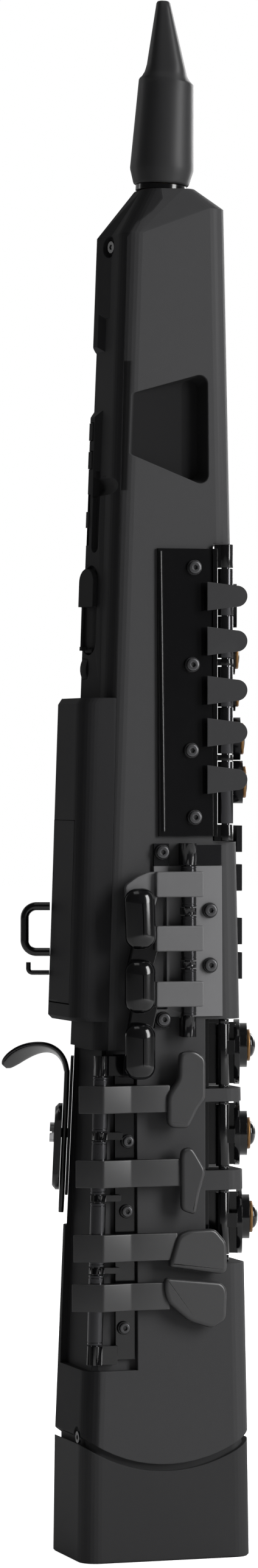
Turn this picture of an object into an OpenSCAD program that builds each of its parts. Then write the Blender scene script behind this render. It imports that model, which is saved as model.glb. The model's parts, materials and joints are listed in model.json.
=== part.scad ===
/* [Body] */
// Width across the body, carried down to the base
foot_width = 60; // [57:0.5:62]
// Narrowing of the width for each millimetre of height
width_taper = 0.0246; // [0.022:0.0002:0.026]
// Reach of the rear face behind the axis, carried down to the base
foot_rear = 46.4; // [44:0.2:48]
// Forward lean of the rear face for each millimetre of height
rear_taper = 0.0382; // [0.036:0.0002:0.039]
// Reach of the front face before the axis, carried down to the base
foot_front = 45.8; // [44:0.2:47]
// Backward lean of the front face for each millimetre of height
front_taper = 0.0164; // [0.014:0.0002:0.017]
// Radius of the four upright corners
corner_r = 10; // [8.5:0.25:10.5]
// Thickness of the moulded shells
wall = 2.6; // [2.2:0.1:3.2]
// Height of the top plate that carries the neck
top_z = 689.6; // [685:0.2:692]

/* [Front stacks] */
// Turn of both front key stacks towards the right hand
cant = 18; // [14:0.5:20]
// Height of the lowest point of the upper stack's recess
upper_low = 360; // [356:1:362]
// Height of the top of the upper stack's recess
upper_high = 510.4; // [508:0.2:512]
// Reach of the upper flat that the stack stands on
upper_flat = 31.6; // [30:0.2:32.4]
// Height of the lowest point of the lower stack's pocket
lower_low = 148; // [144:1:150]
// Height of the top of the lower stack's pocket
lower_high = 271; // [269:0.5:274]
// Reach of the lower flat that the stack stands on
lower_flat = 27.7; // [26:0.1:28.5]
// Radius of the cups of the upper stack
upper_cup_r = 10.8; // [9.5:0.1:10.8]
// Radius of the large discs of the lower stack
lower_disc_r = 16.5; // [14:0.25:16.5]
// Radius of the pearl rings
ring_r = 8; // [7:0.1:8.4]

/* [Hinges] */
// Radius of the steel hinge rods
rod_r = 2; // [1.6:0.1:2.2]
// Radius of the hinge tubes that turn on the rods
tube_r = 3.9; // [3.4:0.1:4]
// Gap between a rod and the tube on it
run_gap = 0.06; // [0.03:0.01:0.09]
// Gap between neighbouring tubes along a rod
end_gap = 0.4; // [0.3:0.1:0.6]

/* [Side keys] */
// Height of the three side key arms
side_arm_h = 12.8; // [11:0.2:13.4]
// Width of the rounded side key touches
touch_w = 15.8; // [14:0.2:16.4]
// Reach of the side key rod from the axis
side_rod_x = 32.6; // [32.5:0.1:33]

/* [Lower levers] */
// Height of the four lever arms
lever_arm_h = 13.6; // [12:0.2:14]
// Thickness of the lever arms and paddles
lever_t = 3.2; // [2.6:0.1:3.6]
// Lean of the lever rod, which follows the rear edge of the body
lever_lean = 1.35; // [1:0.05:1.6]

/* [Mouthpiece] */
// Height of the mouthpiece above the collar
mouthpiece_h = 94; // [90:0.5:98]
// Radius of the mouthpiece at its ring
shank_r = 16.15; // [15.5:0.05:17]
// Radius of the shank's bore
shank_bore_r = 10; // [9.6:0.1:10.4]
// Forward lean of the neck and the mouthpiece
neck_lean = 3; // [2:0.25:4]

/* [Thumb hook and ring] */
// Width of the thumb hook's strip
hook_w = 12; // [10:0.5:14]
// Radius of the wire of the strap ring
ring_wire_r = 2.1; // [1.8:0.1:2.3]

/* [Hidden] */
$fn = 48;
hull_fn = 32;
slab = 0.01;
cap_split = 121.5;
cap_arc_r = 76.5;
body_arc_r = 73;
body_low = 46;
rear_shoulder = top_z - 23.6;
front_shoulder = top_z - 10.1;
neck_y = -5.6;
seam_low_y = 35.9;
seam_low_z = 90;
seam_high_y = 18.3;
seam_high_z = top_z - 25.6;
upper_rod = [-14, -37.9];
lower_rod = [-10, -36.5];
side_rod = [-side_rod_x, -9.6];
lever_rod = [-29.8, 35.4];
lever_rod_z = 253;
table_rod = [30.6, -33.5];
hook_seat = [42.1, 38.3];
box_crest_x = 3.5;
palm_rod = [29.5, -10];
rear_x = 8;
upper_zs = [483.6, 461.1, 436.4, 415.2, 391.5];
lower_zs = [256.5, 211.8, 169.4];
lower_disc_zs = [253.2, 212.2, 167.3];
side_zs = [339.1, 312, 284.2];
lever_zs = [232, 195, 158, 133.4];
table_zs = [361.4, 341.7, 314.5, 297];
palm_zs = [592, 563, 534];

function half_w(z) = (foot_width - width_taper * z) / 2;
function rear_y(z) = foot_rear - rear_taper * z;
function front_y(z) = front_taper * z - foot_front;
function seam_y(z) = seam_low_y + (z - seam_low_z) * (seam_high_y - seam_low_y) / (seam_high_z - seam_low_z);

// The tapered body with rounded upright corners, shrunk by inset
module body_form(inset = 0, low = body_low - 4) {
    r = corner_r - inset;
    hull() {
        for (side = [-1, 1]) {
            for (z = [low, rear_shoulder - inset])
                translate([side * (half_w(z) - corner_r), rear_y(z) - corner_r, z])
                    cylinder(r = r, h = slab, $fn = hull_fn);
            for (z = [low, front_shoulder - inset])
                translate([side * (half_w(z) - corner_r), front_y(z) + corner_r, z])
                    cylinder(r = r, h = slab, $fn = hull_fn);
            translate([side * 5, -2.6, top_z - slab - inset])
                cylinder(r = 9 - inset, h = slab, $fn = hull_fn);
            translate([side * 10, -13.5, top_z - slab - inset])
                cylinder(r = 6.5 - inset, h = slab, $fn = hull_fn);
        }
    }
}

// Everything before the seam, seen from the side
module front_region(gap = 0) {
    rotate([90, 0, 90])
        translate([0, 0, -60])
            linear_extrude(120)
                polygon([[-90, 30], [seam_y(30) - gap, 30], [seam_high_y - gap, seam_high_z],
                         [13.4 - gap, top_z - 18.6], [4.8 - gap, top_z - 12.1], [-1 - gap, top_z - 5.6],
                         [-1.4 - gap, top_z + 15.4], [-90, top_z + 15.4]]);
}

// The round underside of the body above the cap
module above_cap(r) {
    difference() {
        translate([-60, -70, 0])
            cube([120, 140, 720]);
        difference() {
            translate([-61, -71, -1])
                cube([122, 142, cap_split + 1]);
            translate([-62, 0, cap_split])
                rotate([0, 90, 0])
                    cylinder(r = r, h = 124, $fn = 96);
        }
    }
}

// A plate of thickness t lying on the right side, sunk into it by sink
module side_plate(y0, y1, z0, z1, t, sink = 0) {
    translate([0, y1, 0])
        rotate([90, 0, 0])
            linear_extrude(y1 - y0)
                polygon([[sink - half_w(z0), z0], [sink - half_w(z0) - t, z0],
                         [sink - half_w(z1) - t, z1], [sink - half_w(z1), z1]]);
}

// A local frame whose front looks along the canted key stacks
module canted() {
    rotate([0, 0, -cant])
        children();
}

// Room cut before a flat that faces along the canted stacks
module canted_cut(reach, low, high) {
    canted()
        translate([-70, -reach - 60, low])
            cube([140, 60, high - low]);
}

// A block from low to high with rounded upright edges
module soft_block(x, y, z, r) {
    translate([0, 0, -z / 2])
        linear_extrude(z)
            translate([r - x / 2, r - y / 2])
                union() {
                    square([x - 2 * r, y - 2 * r]);
                    translate([-r, 0])
                        square([x, y - 2 * r]);
                    translate([0, -r])
                        square([x - 2 * r, y]);
                    for (i = [0, 1], j = [0, 1])
                        translate([i * (x - 2 * r), j * (y - 2 * r)])
                            circle(r = r);
                }
}

// The tilted frame of the lever rod
module lever_frame() {
    translate([lever_rod[0], lever_rod[1], lever_rod_z])
        rotate([lever_lean, 0, 0])
            children();
}

// The recess round the lever rod and behind the thumb hook
module lever_trench() {
    z0 = 96;
    z1 = 256;
    rotate([90, 0, 90])
        translate([0, 0, -60])
            linear_extrude(76)
                polygon([[rear_y(z0) - 3.6, z0], [rear_y(z0) + 20, z0], [rear_y(z1) + 20, z1],
                         [rear_y(z1) - 3.6, z1]]);
    side_trench(z0, z1);
    canted()
        translate([-9, 0, 0])
            rotate([90, 0, 90])
                linear_extrude(39)
                    polygon([[hook_seat[0] + 0.27, 165.5], [hook_seat[1], 257], [70, 257], [70, 165.5]]);
}

// The trench grown inwards, which the inside of both shells stays clear of
module trench_walls() {
    z0 = 92;
    z1 = 260;
    rotate([90, 0, 90])
        translate([0, 0, -60])
            linear_extrude(120)
                polygon([[rear_y(z0) - 6.6, z0], [70, z0], [70, z1], [rear_y(z1) - 6.6, z1]]);
    translate([-60, 11, z0])
        cube([60 - half_w(z0) + 7.4, 60, z1 - z0]);
}

// The part of the trench that is cut into the right side face
module side_trench(z0, z1) {
    translate([0, 60, 0])
        rotate([90, 0, 0])
            linear_extrude(60 - 15.9)
                polygon([[3.8 - half_w(z0), z0], [-60, z0], [-60, z1], [3.8 - half_w(z1), z1]]);
}

// The wedge shaped scoop in the right side face
module side_scoop() {
    depth = 9;
    translate([0, 0, 569])
        rotate([0, 90, 0])
            translate([0, 0, -half_w(569) - 0.4])
                scoop_wedge(depth);
}

module scoop_wedge(depth) {
    hull() {
        translate([12, 20, -1])
            cylinder(r = 1.5, h = 1, $fn = hull_fn);
        translate([-14, 20, -1])
            cylinder(r = 1.5, h = 1, $fn = hull_fn);
        translate([24, -19, -1])
            cylinder(r = 4.5, h = 1, $fn = hull_fn);
        translate([-22, -19, -1])
            cylinder(r = 4.5, h = 1, $fn = hull_fn);
        translate([22, -16, depth - 1])
            cylinder(r = 4, h = 1, $fn = hull_fn);
        translate([-20, -16, depth - 1])
            cylinder(r = 4, h = 1, $fn = hull_fn);
    }
}

// The room that both stacks take out of the front of the body
module stack_rooms() {
    canted_cut(upper_flat, upper_low, upper_high);
    difference() {
        canted_cut(lower_flat, lower_low, lower_high);
        for (z = [[229.4, 236], [185, 194.8]])
            canted()
                translate([-70, -70, z[0]])
                    cube([140, 70, z[1] - z[0]]);
    }
}

// The same room grown inwards, which the shell's inside stays clear of
module stack_walls() {
    canted_cut(upper_flat - wall, upper_low - wall, upper_high + wall);
    canted_cut(lower_flat - wall, lower_low - wall, lower_high + wall);
}

module front_shell() {
    color([0.09, 0.09, 0.095])
        difference() {
            intersection() {
                body_form();
                front_region();
                above_cap(body_arc_r);
            }
            difference() {
                body_form(wall, 30);
                stack_walls();
                trench_walls();
                translate([-60, -60, 537])
                    cube([60 - half_w(569) + 11.6, 80, 64]);
            }
            stack_rooms();
            side_scoop();
            side_trench(96, 256);
            canted()
                translate([lower_rod[0], lower_rod[1], lower_low - 6])
                    cylinder(r = rod_r + 0.05, h = lower_high - lower_low + 12);
            translate([0, front_y(568) - 9, 568])
                cube([14, 20, 36], center = true);
            neck_seat();
        }
}

// The rounded bulge on the rear that holds the batteries and the speaker
module rear_box(inset = 0) {
    r = 9 - inset;
    hull() {
        for (side = [-1, 1]) {
            for (p = [[270.5, box_face[0]], [432.4, box_face[1]]]) {
                translate([side * (half_w(p[0]) - 10), p[1] - 9, p[0] + (p[0] < 300 ? 2 : -3)])
                    cylinder(r = r, h = slab, $fn = hull_fn);
                translate([side * (half_w(p[0]) - 10), p[1] - 11, p[0]])
                    cylinder(r = r, h = slab, $fn = hull_fn);
                translate([side * (half_w(p[0]) - 10), 27, p[0]])
                    cylinder(r = r, h = slab, $fn = hull_fn);
            }
        }
    }
}

// The ridge of the thumb facet on the rear, and where the facet starts on the near side
ridge_x = 10;
facet_turn = 14;
facet_lean = 2.15;
facet_top = top_z - 24.1;
function ridge_y(z) = 49.96 - 0.03754 * z;
function facet_start(z) = 0.0338 * (z - 434) - 10.2;

module facet_slab(z) {
    y = ridge_y(z);
    translate([0, 0, z])
        linear_extrude(slab)
            polygon([[facet_start(z), rear_y(z) - 0.02], [ridge_x - 2.4, y - 0.62], [ridge_x - 0.6, y - 0.05],
                     [ridge_x + 0.6, y - 0.08], [ridge_x + 2.4, y - 0.75], [ridge_x + 4.5, y - 2],
                     [half_w(z) - 4, rear_y(z) - 2.4], [ridge_x, rear_y(z) - 9],
                     [facet_start(z), rear_y(z) - 5]]);
}

// The long facet that is turned towards the right thumb
module thumb_facet() {
    hull() {
        facet_slab(429);
        facet_slab(facet_top);
    }
}

// The slope from the facet up to the neck
module facet_shoulder() {
    hull() {
        facet_slab(facet_top);
        for (side = [-1, 1])
            translate([side * 5, -2.6, top_z - slab])
                cylinder(r = 9, h = slab, $fn = hull_fn);
    }
}

// A frame on the ridge at height z, whose Y points out of the facet
module facet_frame(z) {
    translate([ridge_x, ridge_y(z), z])
        rotate([0, 0, facet_turn])
            rotate([facet_lean, 0, 0])
                children();
}

// A frame whose Y is zero on the plain rear face
module rear_frame() {
    translate([0, foot_rear, 0])
        rotate([atan(rear_taper), 0, 0])
            children();
}

channel_side = 5;
channel_low = 545;
channel_high = 626.6;

// The relief for the thumb that is cut through the facet, down to the plain rear face
module thumb_channel() {
    slot_r = 3.5;
    rear_frame() {
        hull() {
            translate([-30, 0, channel_low])
                cube([27.4 + channel_side, slab, channel_high - channel_low - 2]);
            translate([-30, 5, channel_low - 2])
                cube([32.3 + channel_side, slab, channel_high - channel_low + 4]);
        }
        hull() {
            translate([-30, 0, 578.5])
                cube([60, slab, 29.7]);
            translate([-30, 5, 573.6])
                cube([60, slab, 38.2]);
        }
        translate([1, 0, 509.9])
            rotate([-90, 0, 0])
                cylinder(r = slot_r, h = 6);
        translate([1 - slot_r, 0, 509.9])
            cube([2 * slot_r, 6, 38]);
    }
    translate([channel_side, rear_y(539.2) + 2.7, 539.2])
        rotate([0, -90, 0])
            cylinder(r = 5.1, h = 40);
}

// The room that the control rail takes out of the facet
module rail_room(gap = 0) {
    translate([ridge_x - 4.1 - gap, 15, 500 - gap])
        cube([30, 30, 73.4 + 2 * gap]);
}

jack_z = 25;
jack_r = 1.8;

door_z = 325;
door_h = 92;
door_w = 34;
door_t = 2.4;
box_face = [48.6, 43.9];
box_lean = atan((box_face[0] - box_face[1]) / 154.5);
door_face_y = box_face[0] - (door_z - 272.5) * (box_face[0] - box_face[1]) / 154.5;

// The frame of the battery door, whose Y is zero on the rear face
module door_frame() {
    translate([0, door_face_y, door_z])
        rotate([box_lean, 0, 0])
            children();
}

// Floor of the box on the rear
box_floor = 274.5;

module rear_shell() {
    color([0.06, 0.06, 0.065])
        difference() {
            union() {
                difference() {
                    union() {
                        intersection() {
                            body_form();
                            above_cap(body_arc_r);
                        }
                        difference() {
                            union() {
                                thumb_facet();
                                facet_shoulder();
                            }
                            thumb_channel();
                            rail_room(0.03);
                        }
                    }
                    difference() {
                        body_form(wall, 30);
                        trench_walls();
                    }
                }
                rear_box();
            }
            translate([-16, 10, box_floor])
                cube([32, 31.2, 150]);
            front_region(-0.02);
            lever_trench();
            door_frame() {
                translate([0, 5 - door_t - 0.3, 0])
                    cube([door_w + 0.4, 10, door_h + 0.5], center = true);
                translate([0, -12, 0])
                    cube([door_w - 4, 22, door_h - 6], center = true);
            }
            octave_recess();
            translate([15, speaker_y, 405])
                rotate([0, 90, 0])
                    for (a = [0:60:300])
                        rotate([0, 0, a])
                            translate([4, 0, 0])
                                cylinder(r = 1.1, h = 12);
            screw_wells(5.4);
            bend_pocket();
            translate([channel_side, rear_y(539.2) + 2.7, 539.2])
                rotate([0, -90, 0])
                    cylinder(r = 5.1, h = 40);
            neck_seat();
        }
}

speaker_y = 31.5;
octave_z = 488;
octave_off = -6.4;
pad_r = 6.8;
recess_r = 7.3;
recess_depth = 1.5;

// The long recess round the octave key, seen square on to the facet
module octave_recess() {
    low = 461.6 - octave_z;
    high = 492.3 - octave_z;
    facet_frame(octave_z)
        translate([octave_off, -recess_depth, 0]) {
            for (z = [low, high])
                translate([0, 0, z])
                    rotate([-90, 0, 0])
                        cylinder(r = recess_r, h = 10);
            translate([-recess_r, 0, low])
                cube([2 * recess_r, 10, high - low]);
        }
}

bend_z = 447.4;
bend_r = 9.6;
bend_sink = 8.2;
bend_w = 5.6;
bend_off = -3.4;

// A slice of the bend roller, cut off level below the facet
module bend_slice(r, w, low) {
    facet_frame(bend_z)
        intersection() {
            translate([bend_off - w / 2, -bend_sink, 0])
                rotate([0, 90, 0])
                    cylinder(r = r, h = w);
            translate([-20, low, -20])
                cube([40, 20, 40]);
        }
}

module bend_pocket() {
    bend_slice(bend_r + 0.3, bend_w + 0.6, -2.5);
}

// Floor centre of each case screw's well, and its turn to the near side
case_screw_points = [[-0.2, 20, top_z - 29.2, facet_turn], [-16, rear_y(62) - 1.4, 62, 0]];

module case_screw_frames() {
    for (p = case_screw_points)
        translate([p[0], p[1], p[2]])
            rotate([0, 0, p[3]])
                rotate([-90, 0, 0])
                    children();
}

// Wells for the case screws in the rear face
module screw_wells(r) {
    case_screw_frames()
        cylinder(r = r, h = 20);
}

module case_screws() {
    head_t = 1.1;
    color([0.35, 0.35, 0.36])
        case_screw_frames()
            translate([0, 0, 0.04])
                difference() {
                    cylinder(r = 3, h = head_t);
                    translate([0, 0, head_t / 2])
                        cylinder(r = 1.4, h = head_t, $fn = 6);
                }
}

// The cap under the body, with a spigot that fills the shadow gap
module bottom_cap() {
    color([0.075, 0.075, 0.08])
        difference() {
            cap_solid();
            translate([14, 10, jack_z])
                rotate([0, 90, 0])
                    cylinder(r = jack_r, h = 20);
            translate([20, -8, jack_z])
                cube([30, 9.4, 3.6], center = true);
        }
}

module cap_solid() {
    foot_r = 9.8;
    difference() {
        hull()
            for (side = [-1, 1], end = [-1, 1]) {
                translate([side * 19.6, end * 35.4 - 0.3, 0.8])
                    cylinder(r = foot_r, h = slab, $fn = hull_fn);
                translate([side * 19.6, end * 35.4 - 0.3, 0])
                    cylinder(r = foot_r - 0.8, h = slab, $fn = hull_fn);
                translate([side * 19.3, end * 34.7 - 0.2, 62])
                    cylinder(r = foot_r - 0.1, h = slab, $fn = hull_fn);
            }
        above_cap(cap_arc_r);
        translate([0, 0, 14])
            linear_extrude(60)
                square([46, 72], center = true);
    }
    difference() {
        translate([0, -0.45, 36])
            soft_block(52.6, 82.7, 70, 7.2);
        difference() {
            translate([0, -0.45, 40])
                soft_block(46, 76, 70, 4);
            translate([8, -12, 4])
                cube([20, 32, 32]);
        }
    }
}

module neck_frame() {
    translate([0, neck_y, top_z])
        rotate([neck_lean, 0, 0])
            children();
}

// The room for the neck tube and its collar in the top of both shells
module neck_seat() {
    neck_frame() {
        translate([0, 0, -20])
            cylinder(r = 9.1, h = 30);
        translate([0, 0, -0.03])
            cylinder(r = 12.9, h = 6);
    }
}

module neck_collar() {
    color([0.05, 0.05, 0.055])
        neck_frame()
            difference() {
                cylinder(r = 12.8, h = 2.6);
                translate([0, 0, -1])
                    cylinder(r = 9.05, h = 5);
            }
}

cork_r = shank_bore_r - 0.06;

module neck_tube() {
    color([0.55, 0.42, 0.28])
        neck_frame()
            rotate_extrude()
                polygon([[5, -12], [9, -12], [9, 3.4], [cork_r, 4.4], [cork_r, 38],
                         [cork_r - 1.2, 40], [5, 40]]);
}

// Side view of the beak: how far each face reaches to the front and to the rear
beak_side = [[-18, -1], [-18, 51.5], [-14.1, 51.5], [-12.2, 53], [-10.7, 55.2], [0, 93.2], [6.8, 93.2],
             [10.25, 60.5], [11.2, 57], [13.9, 53.4], [18, 53.4], [18, -1]];
beak_front = [[-18, -1], [-18, 52], [-13.8, 53], [-12.2, 57], [-6.8, 94], [6.8, 94], [12.2, 57],
              [13.8, 53], [18, 52], [18, -1]];

module mouthpiece() {
    ring_z = 8;
    shoulder_z = 53;
    color([0.04, 0.04, 0.045])
        neck_frame()
            translate([0, 0, 3])
                rotate([0, 0, -cant])
                    difference() {
                        intersection() {
                            rotate_extrude()
                                polygon([[0, 0], [13.4, 0], [14.2, 1], [shank_r, ring_z], [13.9, shoulder_z],
                                         [12.6, mouthpiece_h], [0, mouthpiece_h]]);
                            rotate([90, 0, 90])
                                linear_extrude(40, center = true)
                                    polygon(beak_side);
                            rotate([90, 0, 0])
                                linear_extrude(40, center = true)
                                    polygon(beak_front);
                        }
                        translate([0, 0, -1])
                            cylinder(r = shank_bore_r, h = 41);
                        cylinder(r = 6, h = shoulder_z + 3);
                        translate([-4.5, 2.6, shoulder_z])
                            cube([9, 1.2, 50]);
                    }
}

// A hinge tube along the upright through the origin
module hinge_tube(low, high, r = tube_r) {
    translate([0, 0, low + end_gap / 2])
        cylinder(r = r, h = high - low - end_gap);
}

module hinge_bore(low, high) {
    translate([0, 0, low - 1])
        cylinder(r = rod_r + run_gap, h = high - low + 2);
}

// The stops of the hinge tubes along the upper rod, from the top down
upper_tube = [[497.8, 473.9], [473.9, 452.6], [448.5, 428], [428, 404.4], [400.7, 369.2]];
upper_cups = [480, 455.6, 434, 412.2, 390.2];
upper_posts = [[498.2, 509.8], [449, 452.2], [401.1, 404], [360.8, 368.8]];

module upper_key(i, reach) {
    color([0.2, 0.2, 0.205])
        canted()
            translate([upper_rod[0], upper_rod[1], 0])
                difference() {
                    union() {
                        hinge_tube(upper_tube[i][1], upper_tube[i][0]);
                        upper_tab(upper_zs[i]);
                        translate([0, -reach - upper_rod[1] - 0.1, upper_cups[i] - 3])
                            cube([22, 3.2, 6]);
                    }
                    hinge_bore(upper_tube[i][1], upper_tube[i][0]);
                }
}

// The flat tab that lies over the rods on the right hand side
module upper_tab(z) {
    tip_r = 5.3;
    rear = 9.2;
    tip = -5.6;
    translate([-8.9, 0, z])
        rotate([0, 90, 0])
            union() {
                linear_extrude(2.6)
                    polygon([[-7.2, rear], [7.2, rear], [tip_r, tip], [-tip_r, tip]]);
                translate([0, tip, 0])
                    cylinder(r = tip_r, h = 2.6);
            }
    translate([-6.5, -2.6, z - 4])
        cube([4, 5.2, 8]);
}

module key_cup(x, z, reach, depth, r) {
    translate([x, -reach, z])
        rotate([90, 0, 0])
            cylinder(r = r, h = depth);
}

module front_f_key() {
    upper_key(0, 40.5);
    color([0.2, 0.2, 0.205])
        canted()
            translate([6, -40.4, 479.6])
                rotate([90, 0, 0])
                    hull() {
                        translate([0, 5.4, 0])
                            cylinder(r = 5.8, h = 3.6, $fn = hull_fn);
                        translate([0, -7.4, 0])
                            cylinder(r = 3.6, h = 3.6, $fn = hull_fn);
                    }
}

module b_key() {
    upper_key(1, 41);
    color([0.2, 0.2, 0.205])
        canted()
            key_cup(6, upper_cups[1], 40.9, 2.2, upper_cup_r);
}

module bis_key() {
    upper_key(2, 41.2);
    color([0.2, 0.2, 0.205])
        canted()
            key_cup(6, upper_cups[2], 41.1, 2.2, 7.8);
}

module a_key() {
    upper_key(3, 41.8);
    color([0.2, 0.2, 0.205])
        canted()
            key_cup(6, upper_cups[3], 41.7, 4.1, upper_cup_r);
}

module g_key() {
    upper_key(4, 41.8);
    color([0.2, 0.2, 0.205])
        canted()
            key_cup(6, upper_cups[4], 41.7, 5.3, upper_cup_r);
}

// A brass ring that holds a pearl, hollowed for the finger
module ringed_pearl(x, z, reach, r, dome) {
    color([0.45, 0.32, 0.16])
        canted()
            translate([x, -reach, z])
                rotate([90, 0, 0])
                    difference() {
                        union() {
                            cylinder(r = r, h = 1.7);
                            if (dome > 0)
                                intersection() {
                                    translate([0, 0, 1.7 + dome - (r * r * 0.5 + dome * dome) / (2 * dome)])
                                        sphere(r = (r * r * 0.5 + dome * dome) / (2 * dome));
                                    cylinder(r = r - 1, h = 1.7 + dome);
                                }
                        }
                        if (dome == 0)
                            translate([0, 0, 0.8])
                                cylinder(r = r - 1.4, h = 2);
                    }
}

module b_pearl() {
    ringed_pearl(6, upper_cups[1], 43.1, ring_r, 0);
}

module bis_pearl() {
    ringed_pearl(6, upper_cups[2], 43.3, 5.6, 0);
}

module a_pearl() {
    ringed_pearl(6, upper_cups[3], 45.8, ring_r, 0);
}

module g_pearl() {
    ringed_pearl(6, upper_cups[4], 47, ring_r, 0);
}

// Each lower key: where its hinge tube ends, and the reach of its disc
lower_tube = [[268.4, 237.4], [227.8, 196.4], [183.4, 152]];
lower_reach = [42.5, 42.6, 43.8];
lower_x = 9;
rib_low = 29.3;
lower_slit_zs = [261, 219.9, 178.3];

module lower_key(i) {
    reach = lower_reach[i];
    color([0.11, 0.11, 0.115])
        canted() {
            difference() {
                union() {
                    translate([lower_rod[0], lower_rod[1], 0])
                        hinge_tube(lower_tube[i][1], lower_tube[i][0], 3.4);
                    translate([lower_rod[0] - 2.5, -reach - 0.1, lower_zs[i] - 3.5])
                        cube([5, reach + lower_rod[1], 7]);
                    translate([lower_rod[0] - 2.5, -reach - 0.1, lower_zs[i] - 3.5])
                        cube([16, 2.6, 7]);
                }
                translate([lower_rod[0], lower_rod[1], 0])
                    hinge_bore(lower_tube[i][1], lower_tube[i][0]);
            }
            key_cup(lower_x, lower_disc_zs[i], reach, 2.8, lower_disc_r);
            key_cup(lower_x, lower_zs[i], reach, 6.6, 11.2);
            difference() {
                translate([-1, -reach - 0.5, lower_disc_zs[i] - 15.5])
                    cube([2, reach + 0.5 - rib_low, 31]);
                translate([-2, -37.4, lower_slit_zs[i] - 1.5])
                    cube([4, 0.7, 3]);
            }
        }
}

module lower_f_key() {
    lower_key(0);
}

module lower_e_key() {
    lower_key(1);
}

module lower_d_key() {
    lower_key(2);
}

module lower_f_pearl() {
    ringed_pearl(lower_x, lower_zs[0], lower_reach[0] + 6.6, ring_r, 3);
}

module lower_e_pearl() {
    ringed_pearl(lower_x, lower_zs[1], lower_reach[1] + 6.6, ring_r, 3);
}

module lower_d_pearl() {
    ringed_pearl(lower_x, lower_zs[2], lower_reach[2] + 6.6, ring_r, 3);
}

// A saddle that holds a rod, reaching back to its plate
module saddle(low, high, reach, r = tube_r) {
    translate([0, 0, low])
        cylinder(r = r, h = high - low);
    translate([-r * 0.8, 0, low])
        cube([r * 1.6, reach, high - low]);
}

module upper_bracket() {
    plate_t = 1.6;
    flat_t = 2.2;
    color([0.03, 0.03, 0.035])
        difference() {
            union() {
                side_plate(-24.6, 4.2, 363, 507.6, plate_t);
                canted() {
                    translate([-17.8, -upper_flat - flat_t, 363])
                        cube([15, flat_t, 144.6]);
                    for (s = upper_posts)
                        translate([upper_rod[0], upper_rod[1], 0])
                            saddle(s[0], s[1], 5.6);
                }
            }
            canted()
                translate([upper_rod[0], upper_rod[1], 355])
                    cylinder(r = rod_r + 0.02, h = 160);
        }
}

lower_posts = [[268.8, 270.6], [236.4, 237], [228.2, 229], [194.9, 196], [183.8, 184.8], [148.4, 151.6]];

module lower_stack_bracket() {
    color([0.25, 0.25, 0.255])
        canted()
            difference() {
                union() {
                    translate([lower_rod[0] - 4, -lower_flat - 1.8, 149])
                        cube([10, 1.8, 121.5]);
                    for (s = lower_posts)
                        translate([lower_rod[0], lower_rod[1], 0])
                            saddle(s[0], s[1], 8.8, 3.2);
                }
                translate([lower_rod[0], lower_rod[1], 140])
                    cylinder(r = rod_r + 0.02, h = 140);
                for (z = [229.4, 185])
                    translate([lower_rod[0] - 20, -60, z - 0.1])
                        cube([40, 60, z > 200 ? 6.8 : 10]);
            }
}

side_tube = [[348.4, 327.6], [323.4, 300.8], [296.8, 273.2]];
side_posts = [[348.8, 359.6], [323.8, 327.2], [297.2, 300.4], [262.6, 272.8]];

module side_bracket() {
    plate_t = 1.7;
    post_clearance = 0.1;
    color([0.3, 0.3, 0.305])
        difference() {
            union() {
                side_plate(-29, 0.3, 272.6, 348.2, plate_t);
                side_plate(-1, 7, 267, 276.4, plate_t);
                side_plate(-1, 7, 345, 359.4, plate_t);
                translate([side_rod[0], side_rod[1], 0])
                    for (s = side_posts)
                        translate([0, 0, s[0]]) {
                            cylinder(r = tube_r, h = s[1] - s[0]);
                            translate([0, -3, 0])
                                cube([side_rod_x - half_w(s[0]) - post_clearance, 6, s[1] - s[0]]);
                        }
                side_plate(-29, -6.6, 348.6, 358.6, 1.2);
            }
            translate([side_rod[0], side_rod[1], 255])
                cylinder(r = rod_r + 0.02, h = 110);
        }
}

// A rounded pad, longest along Z, with domed ends
module soft_touch(w, d, h) {
    hull()
        for (side = [-1, 1], up = [-1, 1])
            translate([0, side * (w / 2 - 5), up * (h / 2 - 5)])
                rotate([0, 90, 0]) {
                    cylinder(r = 5, h = d - 2, center = true, $fn = hull_fn);
                    cylinder(r = 3.4, h = d, center = true, $fn = hull_fn);
                }
}

module side_key(i, touch_z, touch_h, tilt, link) {
    arm_x = -36.4;
    arm_t = 3;
    arm_z = side_zs[i];
    color([0.28, 0.28, 0.285]) {
        difference() {
            union() {
                translate([side_rod[0], side_rod[1], 0])
                    hinge_tube(side_tube[i][1], side_tube[i][0]);
                translate([arm_x, -16.4, arm_z - side_arm_h / 2])
                    cube([arm_t, 25.2, side_arm_h]);
                translate([arm_x + 1, -15.8, arm_z - side_arm_h / 2 + 0.6])
                    cube([5, 3, side_arm_h - 1.2]);
                translate([arm_x + 1, side_rod[1] - 3.4, arm_z - side_arm_h / 2])
                    cube([4, 6.8, side_arm_h]);
            }
            translate([side_rod[0], side_rod[1], 0])
                hinge_bore(side_tube[i][1], side_tube[i][0]);
        }
        translate([arm_x + 2.4, 0, 0])
            rotate([90, 0, 90])
                linear_extrude(arm_t)
                    polygon(link);
        translate([arm_x - 1, 12.6, touch_z + 4.2])
            cube([4, 9, 6.6]);
        translate([arm_x - 3.3, 17.6, touch_z])
            rotate([tilt, 0, 0])
                soft_touch(touch_w, 6, touch_h);
    }
}

// The bent end of an arm, from the arm's height down to its touch
function bent_link(z, touch_z) = [[7, z + side_arm_h / 2], [10, z + side_arm_h / 2 - 1], [19, z + 1.6],
                                  [23, touch_z + 8], [23, touch_z + 4], [11, touch_z + 4],
                                  [7, z - side_arm_h / 2]];

module side_key_1() {
    side_key(0, 322.1, 30.4, -2, [[7, 345.5], [12, 345], [18, 342.8], [24, 338.6], [23, 321], [11, 321],
                                    [7, 332.7]]);
}

module side_key_2() {
    side_key(1, 288.4, 26.8, 0, bent_link(side_zs[1], 288.4));
}

module side_key_3() {
    side_key(2, 256, 28.2, 0, bent_link(side_zs[2], 256));
}

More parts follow.
